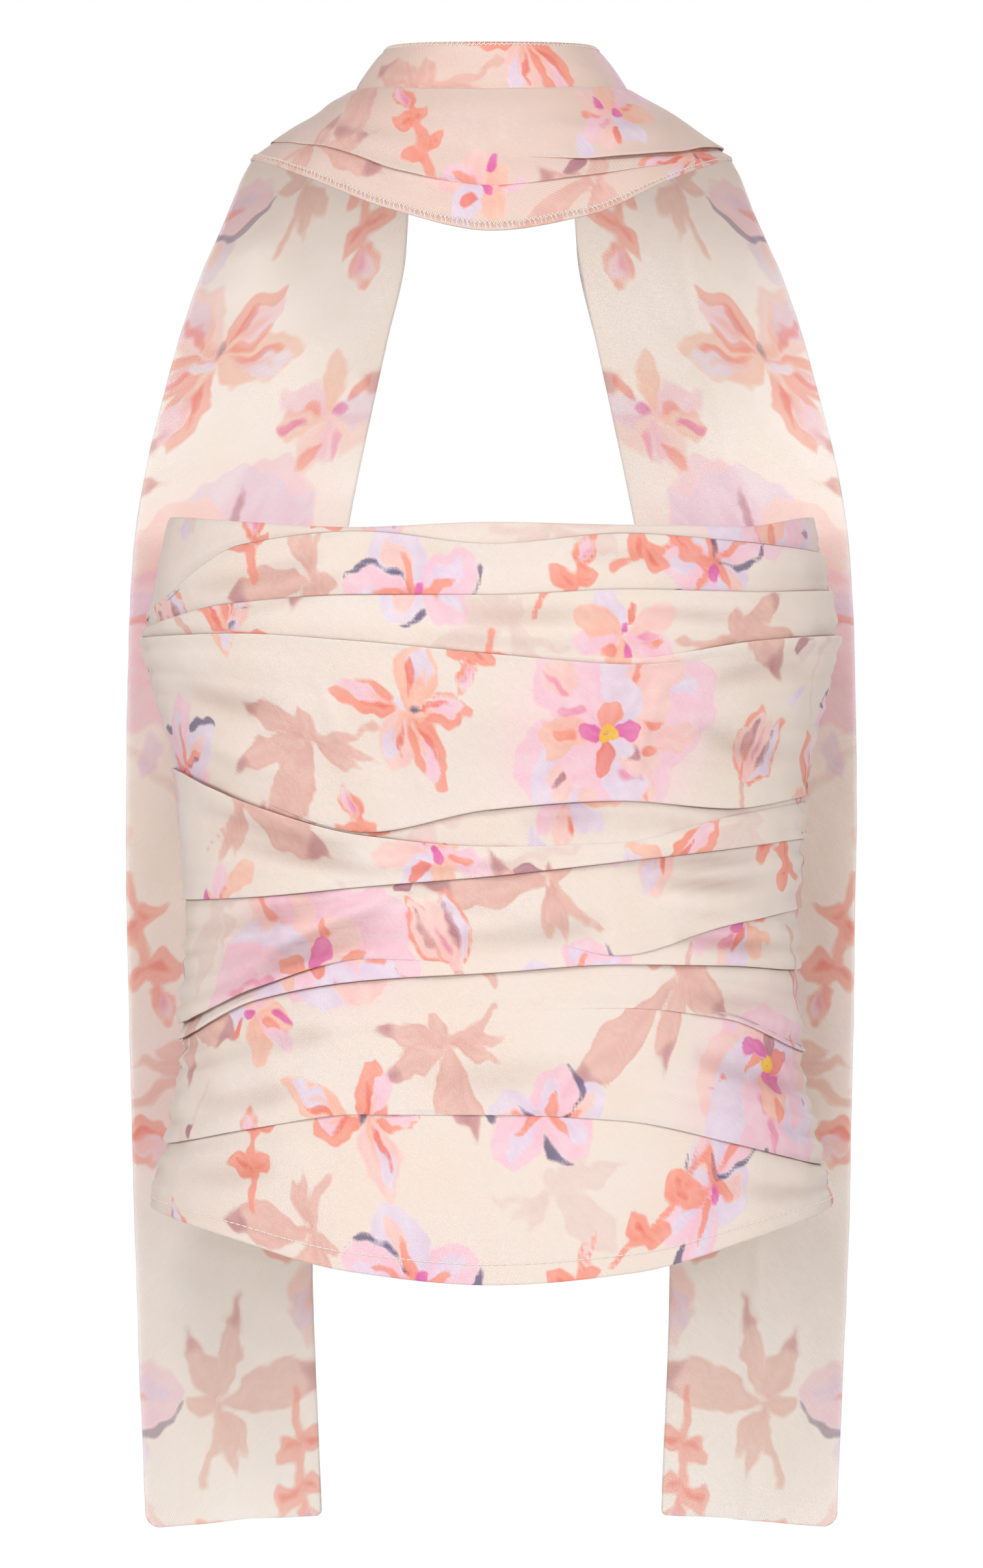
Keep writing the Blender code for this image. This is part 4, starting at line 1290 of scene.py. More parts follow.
def back_panel(side, name, cut, seed):
    """One back panel. cut is its place on the printed repeat."""
    slit = (ZIP_SLIT / 2 / PLAIN_HALF_WIDTH) ** (SECTION_POWER / 2)
    angles = even_angles(BACK_COLUMNS, 1, math.pi / 2)[::-1]
    angles = np.maximum(angles, slit)[None, :]
    inwards = np.cos(angles)
    top = BACK_TOP[0] + (BACK_TOP[1] - BACK_TOP[0]) * inwards
    hem = BACK_HEM[0] + (BACK_HEM[1] - BACK_HEM[0]) * inwards
    down, edge_relief = back_rows()
    height = top + (hem - top) * down
    grid = angles + 0 * height
    run = run_across(grid[0], height, 1)
    from_seam, from_slit = run, run[:, [-1]] - run
    x = bodice_point(grid, height, 1, 0)[..., 0]
    relief = edge_relief + creases(BACK_CREASES, x, height)
    relief += gathers(height[:, 0], from_seam, *BACK_GATHERS, seed)
    relief += 0.25 * ripple(side * run, height, 40, seed + 1) + 0.05 * ripple(run, height, 8, seed + 2)
    relief -= SEAM_PUCKER * np.exp(-((from_seam / SEAM_PUCKER_REACH) ** 2))
    wave = np.sin(height * 2 * math.pi / ZIP_PUCKER_PITCH)
    relief += ZIP_PUCKER * wave * np.exp(-from_slit / ZIP_PUCKER_REACH)
    relief = np.clip(relief, *BACK_RELIEF)
    outer = bodice_point(grid, height, 1, relief)
    share = np.linspace(0, 1, INNER_ROWS)[:, None]
    inner_height = top + (hem - top) * share
    inner = bodice_point(angles + 0 * inner_height, inner_height, 1, -BODICE_WALL)
    for skin in (outer, inner):
        skin[:, 0, 1] = SEAM_GAP
        skin[:, -1, 0] = ZIP_SLIT / 2
        skin[..., 0] *= side
    panel, order, _ = cloth_wall(name, outer, inner, [bodice_cloth, foundation])
    back_skins.append(outer)
    s = side * (run - run[:, [-1]])
    store_print(panel, order, paint_cloth(s, height, *cut), s, height)
    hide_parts("bodice_" + name.replace("_panel", ""))
    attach(panel, "garment")
    print(name, "triangles:", triangles(panel))
    return panel


back_left_panel = back_panel(-1, "back_left_panel", (120.0, -60.0), 14)
back_right_panel = back_panel(1, "back_right_panel", (310.0, -200.0), 24)

# %% [markdown]
# ## The scarf round the neck
# The scarf's middle stands up round the throat as a narrow band and then folds over itself into a cowl that
# spreads to the shoulders. The band and the cowl are one strip, drawn as the two stretches that show.

# %% Neck band
RIDGE_Y = 2.0
SCARF_WALL = 1.0
BAND_SECTIONS = (
    # height at the ridge, height at the centre, half_width, depth
    (253.0, 251.3, 44.6, 50.0),
    (248.5, 246.5, 49.0, 51.5),
    (243.0, 241.0, 53.2, 53.4),
    (237.5, 235.5, 56.8, 55.4),
    (233.0, 230.5, 59.4, 57.2),
)
BAND_COLUMNS = 150
BAND_ROWS = 20
BAND_RADIUS = 52.0
BAND_HEIGHT = 21.0
BAND_CUT = (-52.0, -110.0)


def surface_normals(points):
    """Normals of a table of points, away from a viewer who sees its rows run down and its columns right."""
    down = np.gradient(points, axis=0)
    across = np.gradient(points, axis=1)
    normal = np.cross(across, down)
    return normal / np.linalg.norm(normal, axis=-1, keepdims=True)


def strip_wall(name, middle, relief, ridge_y, materials):
    """A thin wall on both sides of a middle surface, whose two ends lie at ridge_y."""
    normal = surface_normals(middle)
    skins = []
    for out in (SCARF_WALL / 2, -SCARF_WALL / 2):
        points = middle - normal * (out + relief)[..., None]
        points[:, [0, -1], 1] = ridge_y
        skins.append(points)
    return skins, cloth_wall(name, skins[0], skins[1], materials)


angle = np.linspace(-1, 1, BAND_COLUMNS) * math.pi / 2
level = np.linspace(0, 1, BAND_ROWS)[:, None]
stations = np.linspace(0, 1, len(BAND_SECTIONS))
ridge, centre, half_width, depth = (smooth(stations, column(BAND_SECTIONS, k), level) for k in range(4))
band_y = RIDGE_Y - SEAM_GAP / 2
band_points = np.stack(
    [
        half_width * np.sin(angle),
        band_y - depth * np.cos(angle),
        ridge + (centre - ridge) * np.cos(angle) ** 2,
    ],
    axis=-1,
)
band_s = angle[None, :] * BAND_RADIUS + 0 * level
band_t = BAND_HEIGHT * (1 - level) + 0 * angle
BAND_CREASES = (
    # s, t at one end, s, t at the other, sag, half width, depth
    (-60, 4, -10, 12, 2, 3.0, 0.6),
    (8, 14, 66, 3, -2, 3.0, 0.5),
    (-30, 2, 40, 3, 1, 2.5, -0.5),
)
band_relief = 0.5 * ripple(band_s, band_t, 30, 41) * np.cos(angle) + creases(BAND_CREASES, band_s, band_t)
(band_outer, _), (neck_band, order, inner_order) = strip_wall(
    "neck_band", band_points, band_relief * np.sin(math.pi * level) ** 0.5, band_y,
    [scarf_right_side, scarf_wrong_side],
)
band_painting = paint_cloth(band_s, band_t, *BAND_CUT)
store_print(neck_band, np.stack([order, inner_order]), band_painting, band_s, band_t)
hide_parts("scarf_neck_band")
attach(neck_band, "garment")
print("neck band triangles:", triangles(neck_band))

# %% [markdown]
# The cowl hangs from the band's lower edge over the shoulders. It is pleated with the same rows as the front,
# but its surface leans outwards, so a fold stands off along that slope.

# %% Cowl
COWL_STATIONS = (-1.0, -0.72, -0.4, 0.0, 0.4, 0.72, 1.0)
COWL_LINES = (
    # name, faces, heights, depths
    ("fold", "edge", (233.5, 232.5, 231.2, 230.5, 231.2, 232.5, 233.5), (0, 0, 0, 0, 0, 0, 0)),
    ("right_pleat", "down", (224, 217, 210, 201.5, 199, 201.5, 208), (0, 0, 0, 0, 1.0, 2.4, 2.0)),
    ("long_pleat", "down", (211, 204.5, 193.5, 187.5, 191.5, 197.5, 205.8),
     (0.8, 1.3, 1.4, 0.3, 1.3, 0.4, 0)),
    ("hem", "edge", (204.6, 191.5, 177.5, 168.3, 175.5, 191.5, 204.6), (0, 0, 0, 0, 0, 0, 0)),
)
COWL_HALF_WIDTH = (60.6, 103.5)
COWL_DEPTH = (59.8, 91.0)
COWL_BULGE = 3.0
COWL_LEAN = (26, 30)  # degrees at the centre, and how much more at the sides
COWL_COLUMNS = 230
COWL_SPACING = 1.5
COWL_INNER_ROWS = 30
COWL_DEEPEST = -0.9
COWL_CUT = (-20.0, -393.0)
COWL_SLOPE = 1.15  # cloth to a mm of height
COWL_SHADE = 0.5
COWL_CREASES = (
    # x, z at one end, x, z at the other, sag, half width, depth
    (-84, 216, -20, 206, 3, 3.0, 0.8),
    (-76, 209, -10, 200, 4, 3.5, -0.6),
    (10, 222, 72, 219, 2, 4.0, -0.6),
    (20, 214, 84, 214, 3, 3.0, 0.7),
    (30, 196, 88, 205, -3, 3.0, -0.6),
    (-60, 196, 0, 180, 3, 4.0, -0.5),
    (-30, 226, 30, 224, 2, 5.0, 0.6),
)


def cowl_points(angle, height, out):
    """Points of the cowl out mm from its plain surface."""
    top, hem = cowl_flat[0], cowl_flat[-1]
    down = (top - height) / (top - hem)
    half_width = COWL_HALF_WIDTH[0] + (COWL_HALF_WIDTH[1] - COWL_HALF_WIDTH[0]) * down
    bulge = COWL_BULGE * np.sin(math.pi * np.clip(down, 0, 1))
    depth = COWL_DEPTH[0] + (COWL_DEPTH[1] - COWL_DEPTH[0]) * down + bulge
    lean = np.radians(COWL_LEAN[0] + COWL_LEAN[1] * np.sin(angle) ** 2)
    x = half_width * np.sin(angle) + out * np.sin(angle) * np.cos(lean)
    y = band_y - depth * np.cos(angle) - out * np.cos(angle) * np.cos(lean)
    return np.stack([x, y, height + out * np.sin(lean)], axis=-1)


angle = np.linspace(-1, 1, COWL_COLUMNS) * math.pi / 2
cowl_flat, cowl_true, cowl_relief, cowl_cloth, cowl_shade = pleated_rows(
    COWL_LINES, COWL_STATIONS, np.sin(angle), COWL_SPACING
)
grid = angle[None, :] + 0 * cowl_flat
plain = cowl_points(grid, cowl_flat, 0)
cowl_s = np.cumsum(np.linalg.norm(np.diff(plain, axis=1, prepend=plain[:, :1]), axis=-1), axis=1)
cowl_s -= cowl_s[:, [COWL_COLUMNS // 2]]
cowl_relief += creases(COWL_CREASES, plain[..., 0], cowl_flat) * np.cos(grid) ** 0.5
cowl_relief += 0.3 * ripple(cowl_s, cowl_cloth, 26, 51)
cowl_relief = np.maximum(cowl_relief, COWL_DEEPEST)
for end in (0, -1):
    cowl_true[:, end] = cowl_flat[:, end]
    cowl_relief[:, end] = np.clip(cowl_relief[:, end], COWL_DEEPEST, 0)
cowl_outer = cowl_points(grid, cowl_true, cowl_relief + SCARF_WALL)
share = np.linspace(0, 1, COWL_INNER_ROWS)[:, None]
cowl_inner_height = cowl_flat[0] + (cowl_flat[-1] - cowl_flat[0]) * share
cowl_inner = cowl_points(angle[None, :] + 0 * cowl_inner_height, cowl_inner_height, 0)
for skin in (cowl_outer, cowl_inner):
    skin[:, [0, -1], 1] = band_y
cowl, order, inner_order = cloth_wall("cowl", cowl_outer, cowl_inner, [scarf_right_side, scarf_wrong_side])
cowl_t = cowl_cloth * COWL_SLOPE
cowl_painting = paint_cloth(cowl_s, cowl_t, *COWL_CUT)
store_print(cowl, order, cowl_painting, cowl_s, cowl_t, COWL_SHADE * cowl_shade)
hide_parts("scarf_cowl")
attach(cowl, "garment")
print("cowl triangles:", triangles(cowl))

# %% [markdown]
# ## The scarf's ends
# Each end runs over the shoulder, down the back and free below the hem. It is smooth and nearly flat, with
# a slow wave, because nothing pulls on it. From the front its wrong side shows.

# %% Middle surface of a scarf end
TAIL_SECTIONS = (
    # inner edge x, y, z, outer edge x, y, z, bend x, z, bow y
    (45.0, 2.0, 252.6, 103.5, 2.0, 204.6, -2.6, -4.8, 0.0),
    (41.0, 28.0, 248.0, 108.0, 20.0, 199.0, -2.6, -4.4, 2.0),
    (37.5, 46.0, 233.0, 115.5, 38.0, 183.0, -1.4, -2.2, 3.0),
    (36.0, 60.0, 204.0, 126.5, 51.0, 160.0, 0.0, 0.0, 3.0),
    (37.6, 68.0, 170.0, 136.5, 56.0, 132.0, 0.0, 0.0, 3.0),
    (46.3, 74.0, 130.0, 145.5, 59.0, 100.0, 0.0, 0.0, 2.5),
    (55.0, 76.4, 90.0, 152.0, 57.9, 72.0, 0.0, 0.0, 2.5),
    (63.5, 78.9, 48.0, 156.8, 57.4, 40.0, 0.0, 0.0, 2.0),
    (71.0, 81.5, 0.0, 159.0, 56.9, 0.0, 0.0, 0.0, 1.5),
    (77.0, 83.4, -60.0, 160.0, 56.9, -60.0, 0.0, 0.0, 3.0),
    (79.2, 85.9, -130.0, 159.5, 56.9, -130.0, 0.0, 0.0, 4.0),
    (79.6, 88.4, -190.0, 158.2, 56.9, -190.0, 0.0, 0.0, 3.0),
    (79.5, 90.2, -245.0, 156.9, 57.4, -245.0, 0.0, 0.0, 2.0),
    (78.5, 90.9, -300.0, 155.2, 58.4, -300.0, 0.0, 0.0, 2.0),
    (76.8, 90.4, -345.0, 153.1, 58.9, -345.0, 0.0, 0.0, 3.0),
    (75.2, 89.9, -386.5, 151.4, 59.4, -389.0, 0.0, 0.0, 4.0),
)
TAIL_SPACING = 1.5
TAIL_LAST_ROWS = (6, 4.8, 3.6, 2.5, 1.6, 0.9, 0.4, 0.1, 0)  # mm from the end, closer at its round corners
TAIL_COLUMNS = 66
TAIL_CORNERS = (2.2, 6.0)  # radii at the inner and the outer edge


def tail_middle():
    """Points of the middle surface of the right end, and the distance of each row from the ridge."""
    length = [0.0]
    for a, b in zip(TAIL_SECTIONS, TAIL_SECTIONS[1:]):
        middles = [[(row[k] + row[k + 3]) / 2 for k in range(3)] for row in (a, b)]
        length.append(length[-1] + math.dist(*middles))
    at = np.linspace(0, length[-1] - 7, round(length[-1] / TAIL_SPACING))
    at = np.concatenate([at, length[-1] - np.array(TAIL_LAST_ROWS)])
    table = np.stack([smooth(length, column(TAIL_SECTIONS, k), at) for k in range(9)], axis=-1)
    share = np.linspace(0, 1, TAIL_COLUMNS)[None, :, None]
    inner, outer = table[:, None, 0:3], table[:, None, 3:6]
    from_end = length[-1] - at
    for radius, way, edge in ((TAIL_CORNERS[0], 1, inner), (TAIL_CORNERS[1], -1, outer)):
        inset = radius - np.sqrt(np.maximum(radius**2 - np.maximum(radius - from_end, 0) ** 2, 0))
        edge[:, 0, 0] += way * inset
    bend = np.stack([table[:, 6], 0 * at, table[:, 7]], axis=-1)[:, None, :]
    bow = np.stack([0 * at, table[:, 8], 0 * at], axis=-1)[:, None, :]
    near_neck = 27 / 4 * share * (1 - share) ** 2
    points = inner + (outer - inner) * share + near_neck * bend + 4 * share * (1 - share) * bow
    return points, at


print("length of an end, mm:", round(float(tail_middle()[1][-1])))

# %% [markdown]
# Both ends come from one function, as a mirrored pair. They carry the print larger than the bodice does, and
# their wall thins towards its edges, which keeps their outline clean.

# %% Scarf ends
SCARF_CUT = (-80.0, -35.0)
SCARF_PRINT_SCALE = 1.3
EDGE_TAPER = 2.0
THIN_EDGE = 0.3
SHOULDER = (12, 60)  # mm from the ridge where the slow wave starts and is full
FOLD_LINE = 0.35
FOLD_LINE_WIDTH = 3
end_skins = []


def scarf_end(side, name):
    """One free end of the scarf, from the ridge over the shoulder down to its square end. A faint fold line
    runs down the right one."""
    points, at = tail_middle()
    share = np.linspace(0, 1, TAIL_COLUMNS)[None, :]
    wide = np.linalg.norm(points[:, -1] - points[:, 0], axis=-1)[:, None]
    s = (share - 0.5) * wide
    t = -at[:, None] + 0 * share
    settled = rise(at, *SHOULDER)[:, None]
    wave = 0.55 * ripple(side * s, t, 90, 61 + side) + 0.18 * ripple(side * s, t, 26, 71 + side)
    if side > 0:
        wave -= FOLD_LINE * np.exp(-((s / FOLD_LINE_WIDTH) ** 2))
    points = points + surface_normals(points) * (wave * settled)[..., None]
    normal = surface_normals(points)
    from_edge = np.minimum(np.minimum(share, 1 - share) * wide, (at[-1] - at)[:, None])
    thick = THIN_EDGE + (1 - THIN_EDGE) * np.clip(from_edge / EDGE_TAPER, 0, 1)[..., None]
    skins = []
    for out in (SCARF_WALL / 2, -SCARF_WALL / 2):
        skin = points + normal * out * thick
        skin[0, :, 1] = RIDGE_Y + SEAM_GAP / 2
        skin[..., 0] *= side
        skins.append(skin)
    end, order, inner_order = cloth_wall(name, skins[0], skins[1], [scarf_right_side, scarf_wrong_side])
    end_skins.append(skins[0])
    painting = paint_cloth(s / SCARF_PRINT_SCALE, -t / SCARF_PRINT_SCALE, *SCARF_CUT)
    store_print(end, np.stack([order, inner_order]), painting, s, t)
    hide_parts(name.replace("end", "tail"))
    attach(end, "garment")
    print(name, "triangles:", triangles(end))
    return end


scarf_end_left = scarf_end(-1, "scarf_end_left")
scarf_end_right = scarf_end(1, "scarf_end_right")

# %% [markdown]
# ## Sewing
# A thread is a thin tube along a path. The hem of the bodice is topstitched with a pale thread, a dash at a
# time. The free edges of the scarf's band and cowl are overlocked: one thread swings between the edge and a
# line just above it, and small stitches close over the edge.

# %% Threads
THREAD_SIDES = 6
ASKEW = (0.31, 0.17, 0.93)  # a direction that no thread follows


def add_thread(bm, path, radius, slot=0):
    """Adds a closed tube along a path of points, both in mm."""
    path = np.asarray(path, float)
    rings = len(path)
    forward = np.gradient(path, axis=0)
    forward /= np.linalg.norm(forward, axis=-1, keepdims=True)
    first = np.cross(forward, ASKEW)
    first /= np.linalg.norm(first, axis=-1, keepdims=True)
    second = np.cross(forward, first)
    made = bmesh.ops.create_grid(bm, x_segments=THREAD_SIDES, y_segments=rings - 1, size=1)["verts"]
    for vert in made:
        k = round((vert.co.x + 1) / 2 * THREAD_SIDES)
        ring = round((vert.co.y + 1) / 2 * (rings - 1))
        turn = 2 * math.pi * k / THREAD_SIDES
        side = math.cos(turn) * first[ring] + math.sin(turn) * second[ring]
        vert.co = (path[ring] + radius * side) * MM
    smooth_faces(made, slot)
    bmesh.ops.remove_doubles(bm, verts=made, dist=radius * MM * 0.05)


def close_threads(bm):
    bmesh.ops.holes_fill(bm, edges=[edge for edge in bm.edges if edge.is_boundary], sides=0)
    bmesh.ops.recalc_face_normals(bm, faces=bm.faces)


# %% [markdown]
# Sewing thread is twisted and a little glossy, so its colour and its relief follow one fine noise.

# %% Thread colours
def thread_material(name, color):
    """Glossy twisted thread."""
    material, tree, shader = new_material(name)
    place = place_on(tree)
    twist = place.noise(2600.0, 1.0)
    shade = twist.mix(linear(*[0.9 * c for c in color]), linear(*color))
    finish(tree, shader, shade, twist, 0.3, 0.0001, Roughness=0.45, Sheen_Weight=0.2)
    return material


pale_thread = thread_material("pale_thread", (255, 246, 238))
pink_thread = thread_material("pink_thread", (244, 190, 190))
gold_thread = thread_material("gold_thread", (240, 214, 160))
print("threads:", [m.name for m in (pale_thread, pink_thread, gold_thread)])

# %% [markdown]
# Stitches follow the cloth's own rows and columns, so their places are read between its points.

# %% Places on a skin
def skin_point(skin, row, col):
    """A point of a table of points at fractional rows and columns."""
    row = np.clip(row, 0, skin.shape[0] - 1.001)
    col = np.clip(col, 0, skin.shape[1] - 1.001)
    r, c = np.floor(row).astype(int), np.floor(col).astype(int)
    u, v = (row - r)[..., None], (col - c)[..., None]
    above = skin[r, c] * (1 - v) + skin[r, c + 1] * v
    below = skin[r + 1, c] * (1 - v) + skin[r + 1, c + 1] * v
    return above * (1 - u) + below * u


def resample(path, pitch):
    """Places at every pitch mm along a path, as fractions of its own point numbers."""
    run = np.concatenate([[0], np.cumsum(np.linalg.norm(np.diff(path, axis=0), axis=1))])
    count = round(run[-1] / pitch)
    return np.interp(np.linspace(0, run[-1], count + 1), run, np.arange(len(path)))


# %% [markdown]
# The topstitching lies 7.7 mm above the hem at the centre front, where the hem curves down, and comes
# nearer to it at the sides. Each dash is one tube that dips into the cloth at both ends.

# %% Hem topstitching
STITCH_PITCH = 3.3
STITCH_LENGTH = 2.5
STITCH_RADIUS = 0.27
STITCH_POINTS = 7
STITCH_RISE = 0.2
STITCH_DIP = 0.5
HEM_ROWS = 17
SIDE_DROP = 3.2
CENTRE_DROP = 4.5


def topstitch(bm, skin, edge_row, drop_at, columns):
    """Dashes along a skin, drop_at mm above its lower edge at the given fractional columns."""
    tail = skin[edge_row + 1 - HEM_ROWS : edge_row + 1]
    rows = np.arange(float(HEM_ROWS))
    for centre in columns[1:-1]:
        path = []
        for share in np.linspace(-0.5, 0.5, STITCH_POINTS):
            col = np.array(centre + share * STITCH_LENGTH * (columns[1] - columns[0]) / STITCH_PITCH)
            near = skin_point(tail, rows, np.full(HEM_ROWS, float(col)))
            height = near[-1, 2] + drop_at(float(col))
            row = np.interp(-height, -near[:, 2], rows)
            dip = STITCH_RISE - STITCH_DIP * (2 * abs(share)) ** 6
            point = skin_point(tail, np.array(row), col)
            out = np.array([point[0], point[1], 0])
            path.append(point + out / np.linalg.norm(out) * dip)
        add_thread(bm, path, STITCH_RADIUS)


bm = bmesh.new()
hem_row = len(front_outer) - len(EDGE)
stations = resample(front_outer[hem_row], STITCH_PITCH)
last_column = front_outer.shape[1] - 1


def front_drop(col):
    """Distance of the topstitching from the hem, mm, at a column of the front."""
    return SIDE_DROP + CENTRE_DROP * math.sin(math.pi * col / last_column) ** 1.5


topstitch(bm, front_outer, hem_row, front_drop, stations)
for skin in back_skins:
    stations = resample(skin[-len(EDGE)], STITCH_PITCH)
    topstitch(bm, skin, len(skin) - len(EDGE), lambda col: SIDE_DROP, stations)
close_threads(bm)
hem_stitching = new_piece("hem_stitching", bm, [pale_thread])
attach(hem_stitching, "garment")
print("hem stitching triangles:", triangles(hem_stitching))

# %% [markdown]
# The overlock thread swings once in 1.9 mm. Short stitches in pink, cream and straw run from it down over
# the edge, because the thread itself is dyed in changing colours.

# %% Overlocked edges
SWING_PITCH = 1.9
SWING_RADIUS = 0.24
SWING_POINTS = 8
SWING_DROP = 1.35
SWING_HEIGHT = 0.4
SWING_LIFT = 0.2
SHORT_STITCH_RADIUS = 0.2
SHORT_STITCH_POINTS = 5


def overlock(bm, skin, edge_row, way):
    """An overlock along one edge of a skin. way is 1 where the skin's rows run away from the edge."""
    stations = resample(skin[edge_row], SWING_PITCH / SWING_POINTS)
    normals = np.cross(np.gradient(skin, axis=1), np.gradient(skin, axis=0))
    normals /= np.linalg.norm(normals, axis=-1, keepdims=True)
    centre = np.array([0.0, 40.0, skin[..., 2].mean()])
    if np.mean(np.sum(normals * (skin - centre), axis=-1)) < 0:
        normals = -normals
    gap = np.linalg.norm(skin[edge_row + 3 * way] - skin[edge_row], axis=-1).mean() / 3
    swing = np.sin(np.arange(len(stations)) * 2 * math.pi / SWING_POINTS)
    rows = edge_row + way * (SWING_DROP + SWING_HEIGHT * swing) / gap
    path = skin_point(skin, rows, stations) + SWING_LIFT * skin_point(normals, rows, stations)
    add_thread(bm, path, SWING_RADIUS)
    for k in range(SWING_POINTS // 4, len(stations) - 2, SWING_POINTS // 2):
        lean = stations[min(k + 3, len(stations) - 1)]
        share = np.linspace(0, 1, SHORT_STITCH_POINTS)
        rows = edge_row + way * (SWING_DROP - (SWING_DROP + 0.3) * share).clip(-0.25) / gap
        cols = stations[k] + (lean - stations[k]) * share
        lift = (0.24 - 0.4 * share**3)[:, None]
        path = skin_point(skin, rows, cols) + lift * skin_point(normals, rows, cols)
        add_thread(bm, path, SHORT_STITCH_RADIUS, slot=(k // 4) % 5 % 3)


bm = bmesh.new()
overlock(bm, band_outer, 0, 1)
overlock(bm, cowl_outer, len(cowl_outer) - len(EDGE), -1)
close_threads(bm)
overlocking = new_piece("overlocking", bm, [pale_thread, pink_thread, gold_thread])
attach(overlocking, "garment")
print("overlocking triangles:", triangles(overlocking))

# %% [markdown]
# ## The concealed zip
# Its woven tape lies inside the two back edges, and the coil shows only in the slit. The slider and its
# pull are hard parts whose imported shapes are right, so they stay and only get a finish.

# %% Zip tape
TAPE_WIDTH = 24.0
TAPE_WALL = 0.8
TAPE_BOW = 0.25
TAPE_ROWS = 60
TAPE_COLUMNS = 9
RIB_PITCH = 0.0009
WEFT_PITCH = 0.0006


def tape_material():
    """Cream woven tape with fine ribs along its length."""
    material, tree, shader = new_material("zip_tape")
    place = place_on(tree)
    x, _, z = place.parts()
    rib = (x * (2 * math.pi / RIB_PITCH)).math("SINE")
    weft = (z * (2 * math.pi / WEFT_PITCH)).math("SINE")
    cloud = place.noise(60.0, 2.0)
    shade = (rib * 0.25 + cloud * 0.5 + 0.25).clamp().mix(linear(222, 202, 188), linear(244, 230, 219))
    finish(tree, shader, shade, rib * 0.6 + weft * 0.4, 0.35, 0.0002, Roughness=0.75)
    return material


tape_heights = np.linspace(BACK_TOP[1], BACK_HEM[1], TAPE_ROWS)
tape_y = bodice_point(np.zeros(TAPE_ROWS), tape_heights, 1, -BODICE_WALL - SEAM_GAP)[:, 1]
tape_across = np.linspace(-TAPE_WIDTH / 2, TAPE_WIDTH / 2, TAPE_COLUMNS)
tape_skins = []
for out in (0.0, -TAPE_WALL):
    hang = tape_y[:, None] + out - TAPE_BOW * (tape_across / (TAPE_WIDTH / 2)) ** 2
    skin = np.stack([tape_across + 0 * hang, hang, tape_heights[:, None] + 0 * hang], axis=-1)
    tape_skins.append(skin)
tape_finish = tape_material()
zip_tape, _, _ = cloth_wall("woven_zip_tape", tape_skins[0], tape_skins[1], [tape_finish, tape_finish])
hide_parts("zip_tape")
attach(zip_tape, "garment")
print("tape triangles:", triangles(zip_tape))

# %% [markdown]
# The coil of a zip is one bristle wound like a spring, and it runs from under the slider to the hem.

# %% Zip coil
COIL_PITCH = 1.3
COIL_POINTS = 6
COIL_TOP = 31.0
COIL_ABOVE_HEM = 3
COIL_INSIDE = 1.0
COIL_WAVE = 0.3
COIL_RADIUS = 0.17

bm = bmesh.new()
count = int((COIL_TOP - BACK_HEM[1] - COIL_ABOVE_HEM) / COIL_PITCH * COIL_POINTS)
wave = np.arange(count) * 2 * math.pi / COIL_POINTS
coil_z = COIL_TOP - np.arange(count) * COIL_PITCH / COIL_POINTS
coil_y = bodice_point(np.zeros(count), coil_z, 1, -COIL_INSIDE)[:, 1] + COIL_WAVE * np.cos(wave)
add_thread(bm, np.stack([COIL_WAVE * np.sin(wave), coil_y, coil_z], axis=-1), COIL_RADIUS)
close_threads(bm)
zip_coil = new_piece("zip_coil", bm, [pale_thread])
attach(zip_coil, "garment")
print("coil triangles:", triangles(zip_coil))

# %% [markdown]
# The slider and its pull are cast metal under cream lacquer, which is smooth but for a faint orange peel and
# rubs a little paler in use.

# %% Lacquer of the slider and pull
def lacquer():
    """Cream lacquer with slight wear and a fine orange-peel surface."""
    material, tree, shader = new_material("zip_lacquer")
    place = place_on(tree)
    wear = (place.noise(900.0, 4.0, 0.7) * 2.6 - 1.25).clamp()
    shade = wear.mix(linear(240, 224, 210), linear(250, 238, 227))
    tree.links.new((place.noise(500.0, 2.0) * 0.16 + 0.26).output, shader.inputs["Roughness"])
    finish(tree, shader, shade, place.noise(1800.0, 1.0), 0.08, 0.0001, Coat_Weight=0.5)
    return material


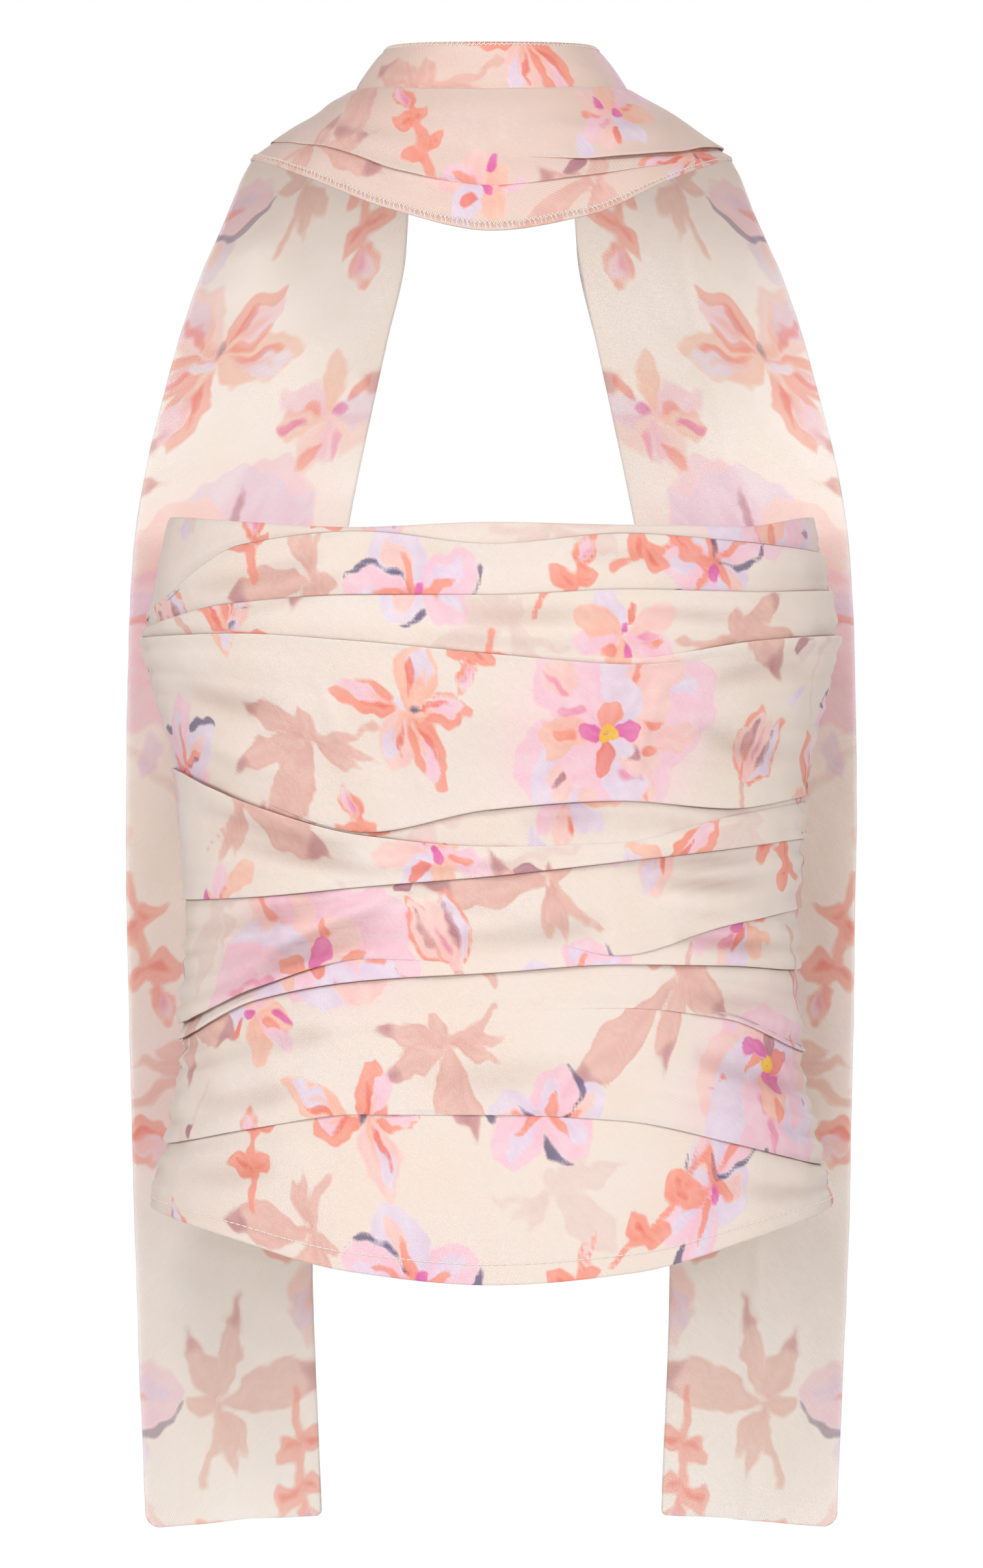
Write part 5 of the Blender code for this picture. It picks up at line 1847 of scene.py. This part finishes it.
zip_lacquer = lacquer()
for name in ("zip_slider", "zip_pull"):
    node = bpy.data.objects[name]
    for slot in node.material_slots:
        slot.material = zip_lacquer
    print(name, "has", len(node.material_slots), "slot in", zip_lacquer.name)

# %% [markdown]
# ## The cloth that was cut
# The size of every piece of cloth that shows is printed, measured along its outer skin: along its rows,
# along its columns, and its area. What is hidden inside the pleats is more, and isn't part of these sizes.

# %% Sizes of the cloth
def cut_of(skin):
    """Width and length of a skin where it is widest and longest, in metres, and its area."""
    across = np.linalg.norm(np.diff(skin, axis=1), axis=-1).sum(axis=1)
    down = np.linalg.norm(np.diff(skin, axis=0), axis=-1).sum(axis=0)
    a, b, c, d = skin[:-1, :-1], skin[:-1, 1:], skin[1:, 1:], skin[1:, :-1]
    area = np.linalg.norm(np.cross(c - a, d - b), axis=-1).sum() / 2
    return (float(across.max()) * MM, float(down.max()) * MM), float(area) * MM * MM


def declare(piece, skin):
    flat, area = cut_of(skin)
    area = min(area, flat[0] * flat[1])
    print(piece.name, "flat, mm:", [round(v / MM) for v in flat], "area, cm2:", round(area * 10000))


declare(front_panel, front_outer)
declare(back_left_panel, back_skins[0])
declare(back_right_panel, back_skins[1])
declare(neck_band, band_outer)
declare(cowl, cowl_outer)
declare(scarf_end_left, end_skins[0])
declare(scarf_end_right, end_skins[1])
declare(zip_tape, tape_skins[0])

# %% [markdown]
# ## Finish
# The floor is plain and pale and lies well below the garment, which the wearer's torso would hold up.

# %% Floor
FLOOR_HALF_SIZE = 2.5
bm = bmesh.new()
bmesh.ops.create_grid(bm, x_segments=1, y_segments=1, size=FLOOR_HALF_SIZE)
bmesh.ops.translate(bm, verts=bm.verts, vec=(0, 0, FLOOR_HEIGHT))
floor_material, floor_tree, floor_shader = new_material("floor")
floor_shader.inputs["Base Color"].default_value = (0.86, 0.86, 0.86, 1)
floor_shader.inputs["Roughness"].default_value = 0.8
floor = new_piece("floor", bm, [floor_material])
print("floor below the origin, m:", -FLOOR_HEIGHT)
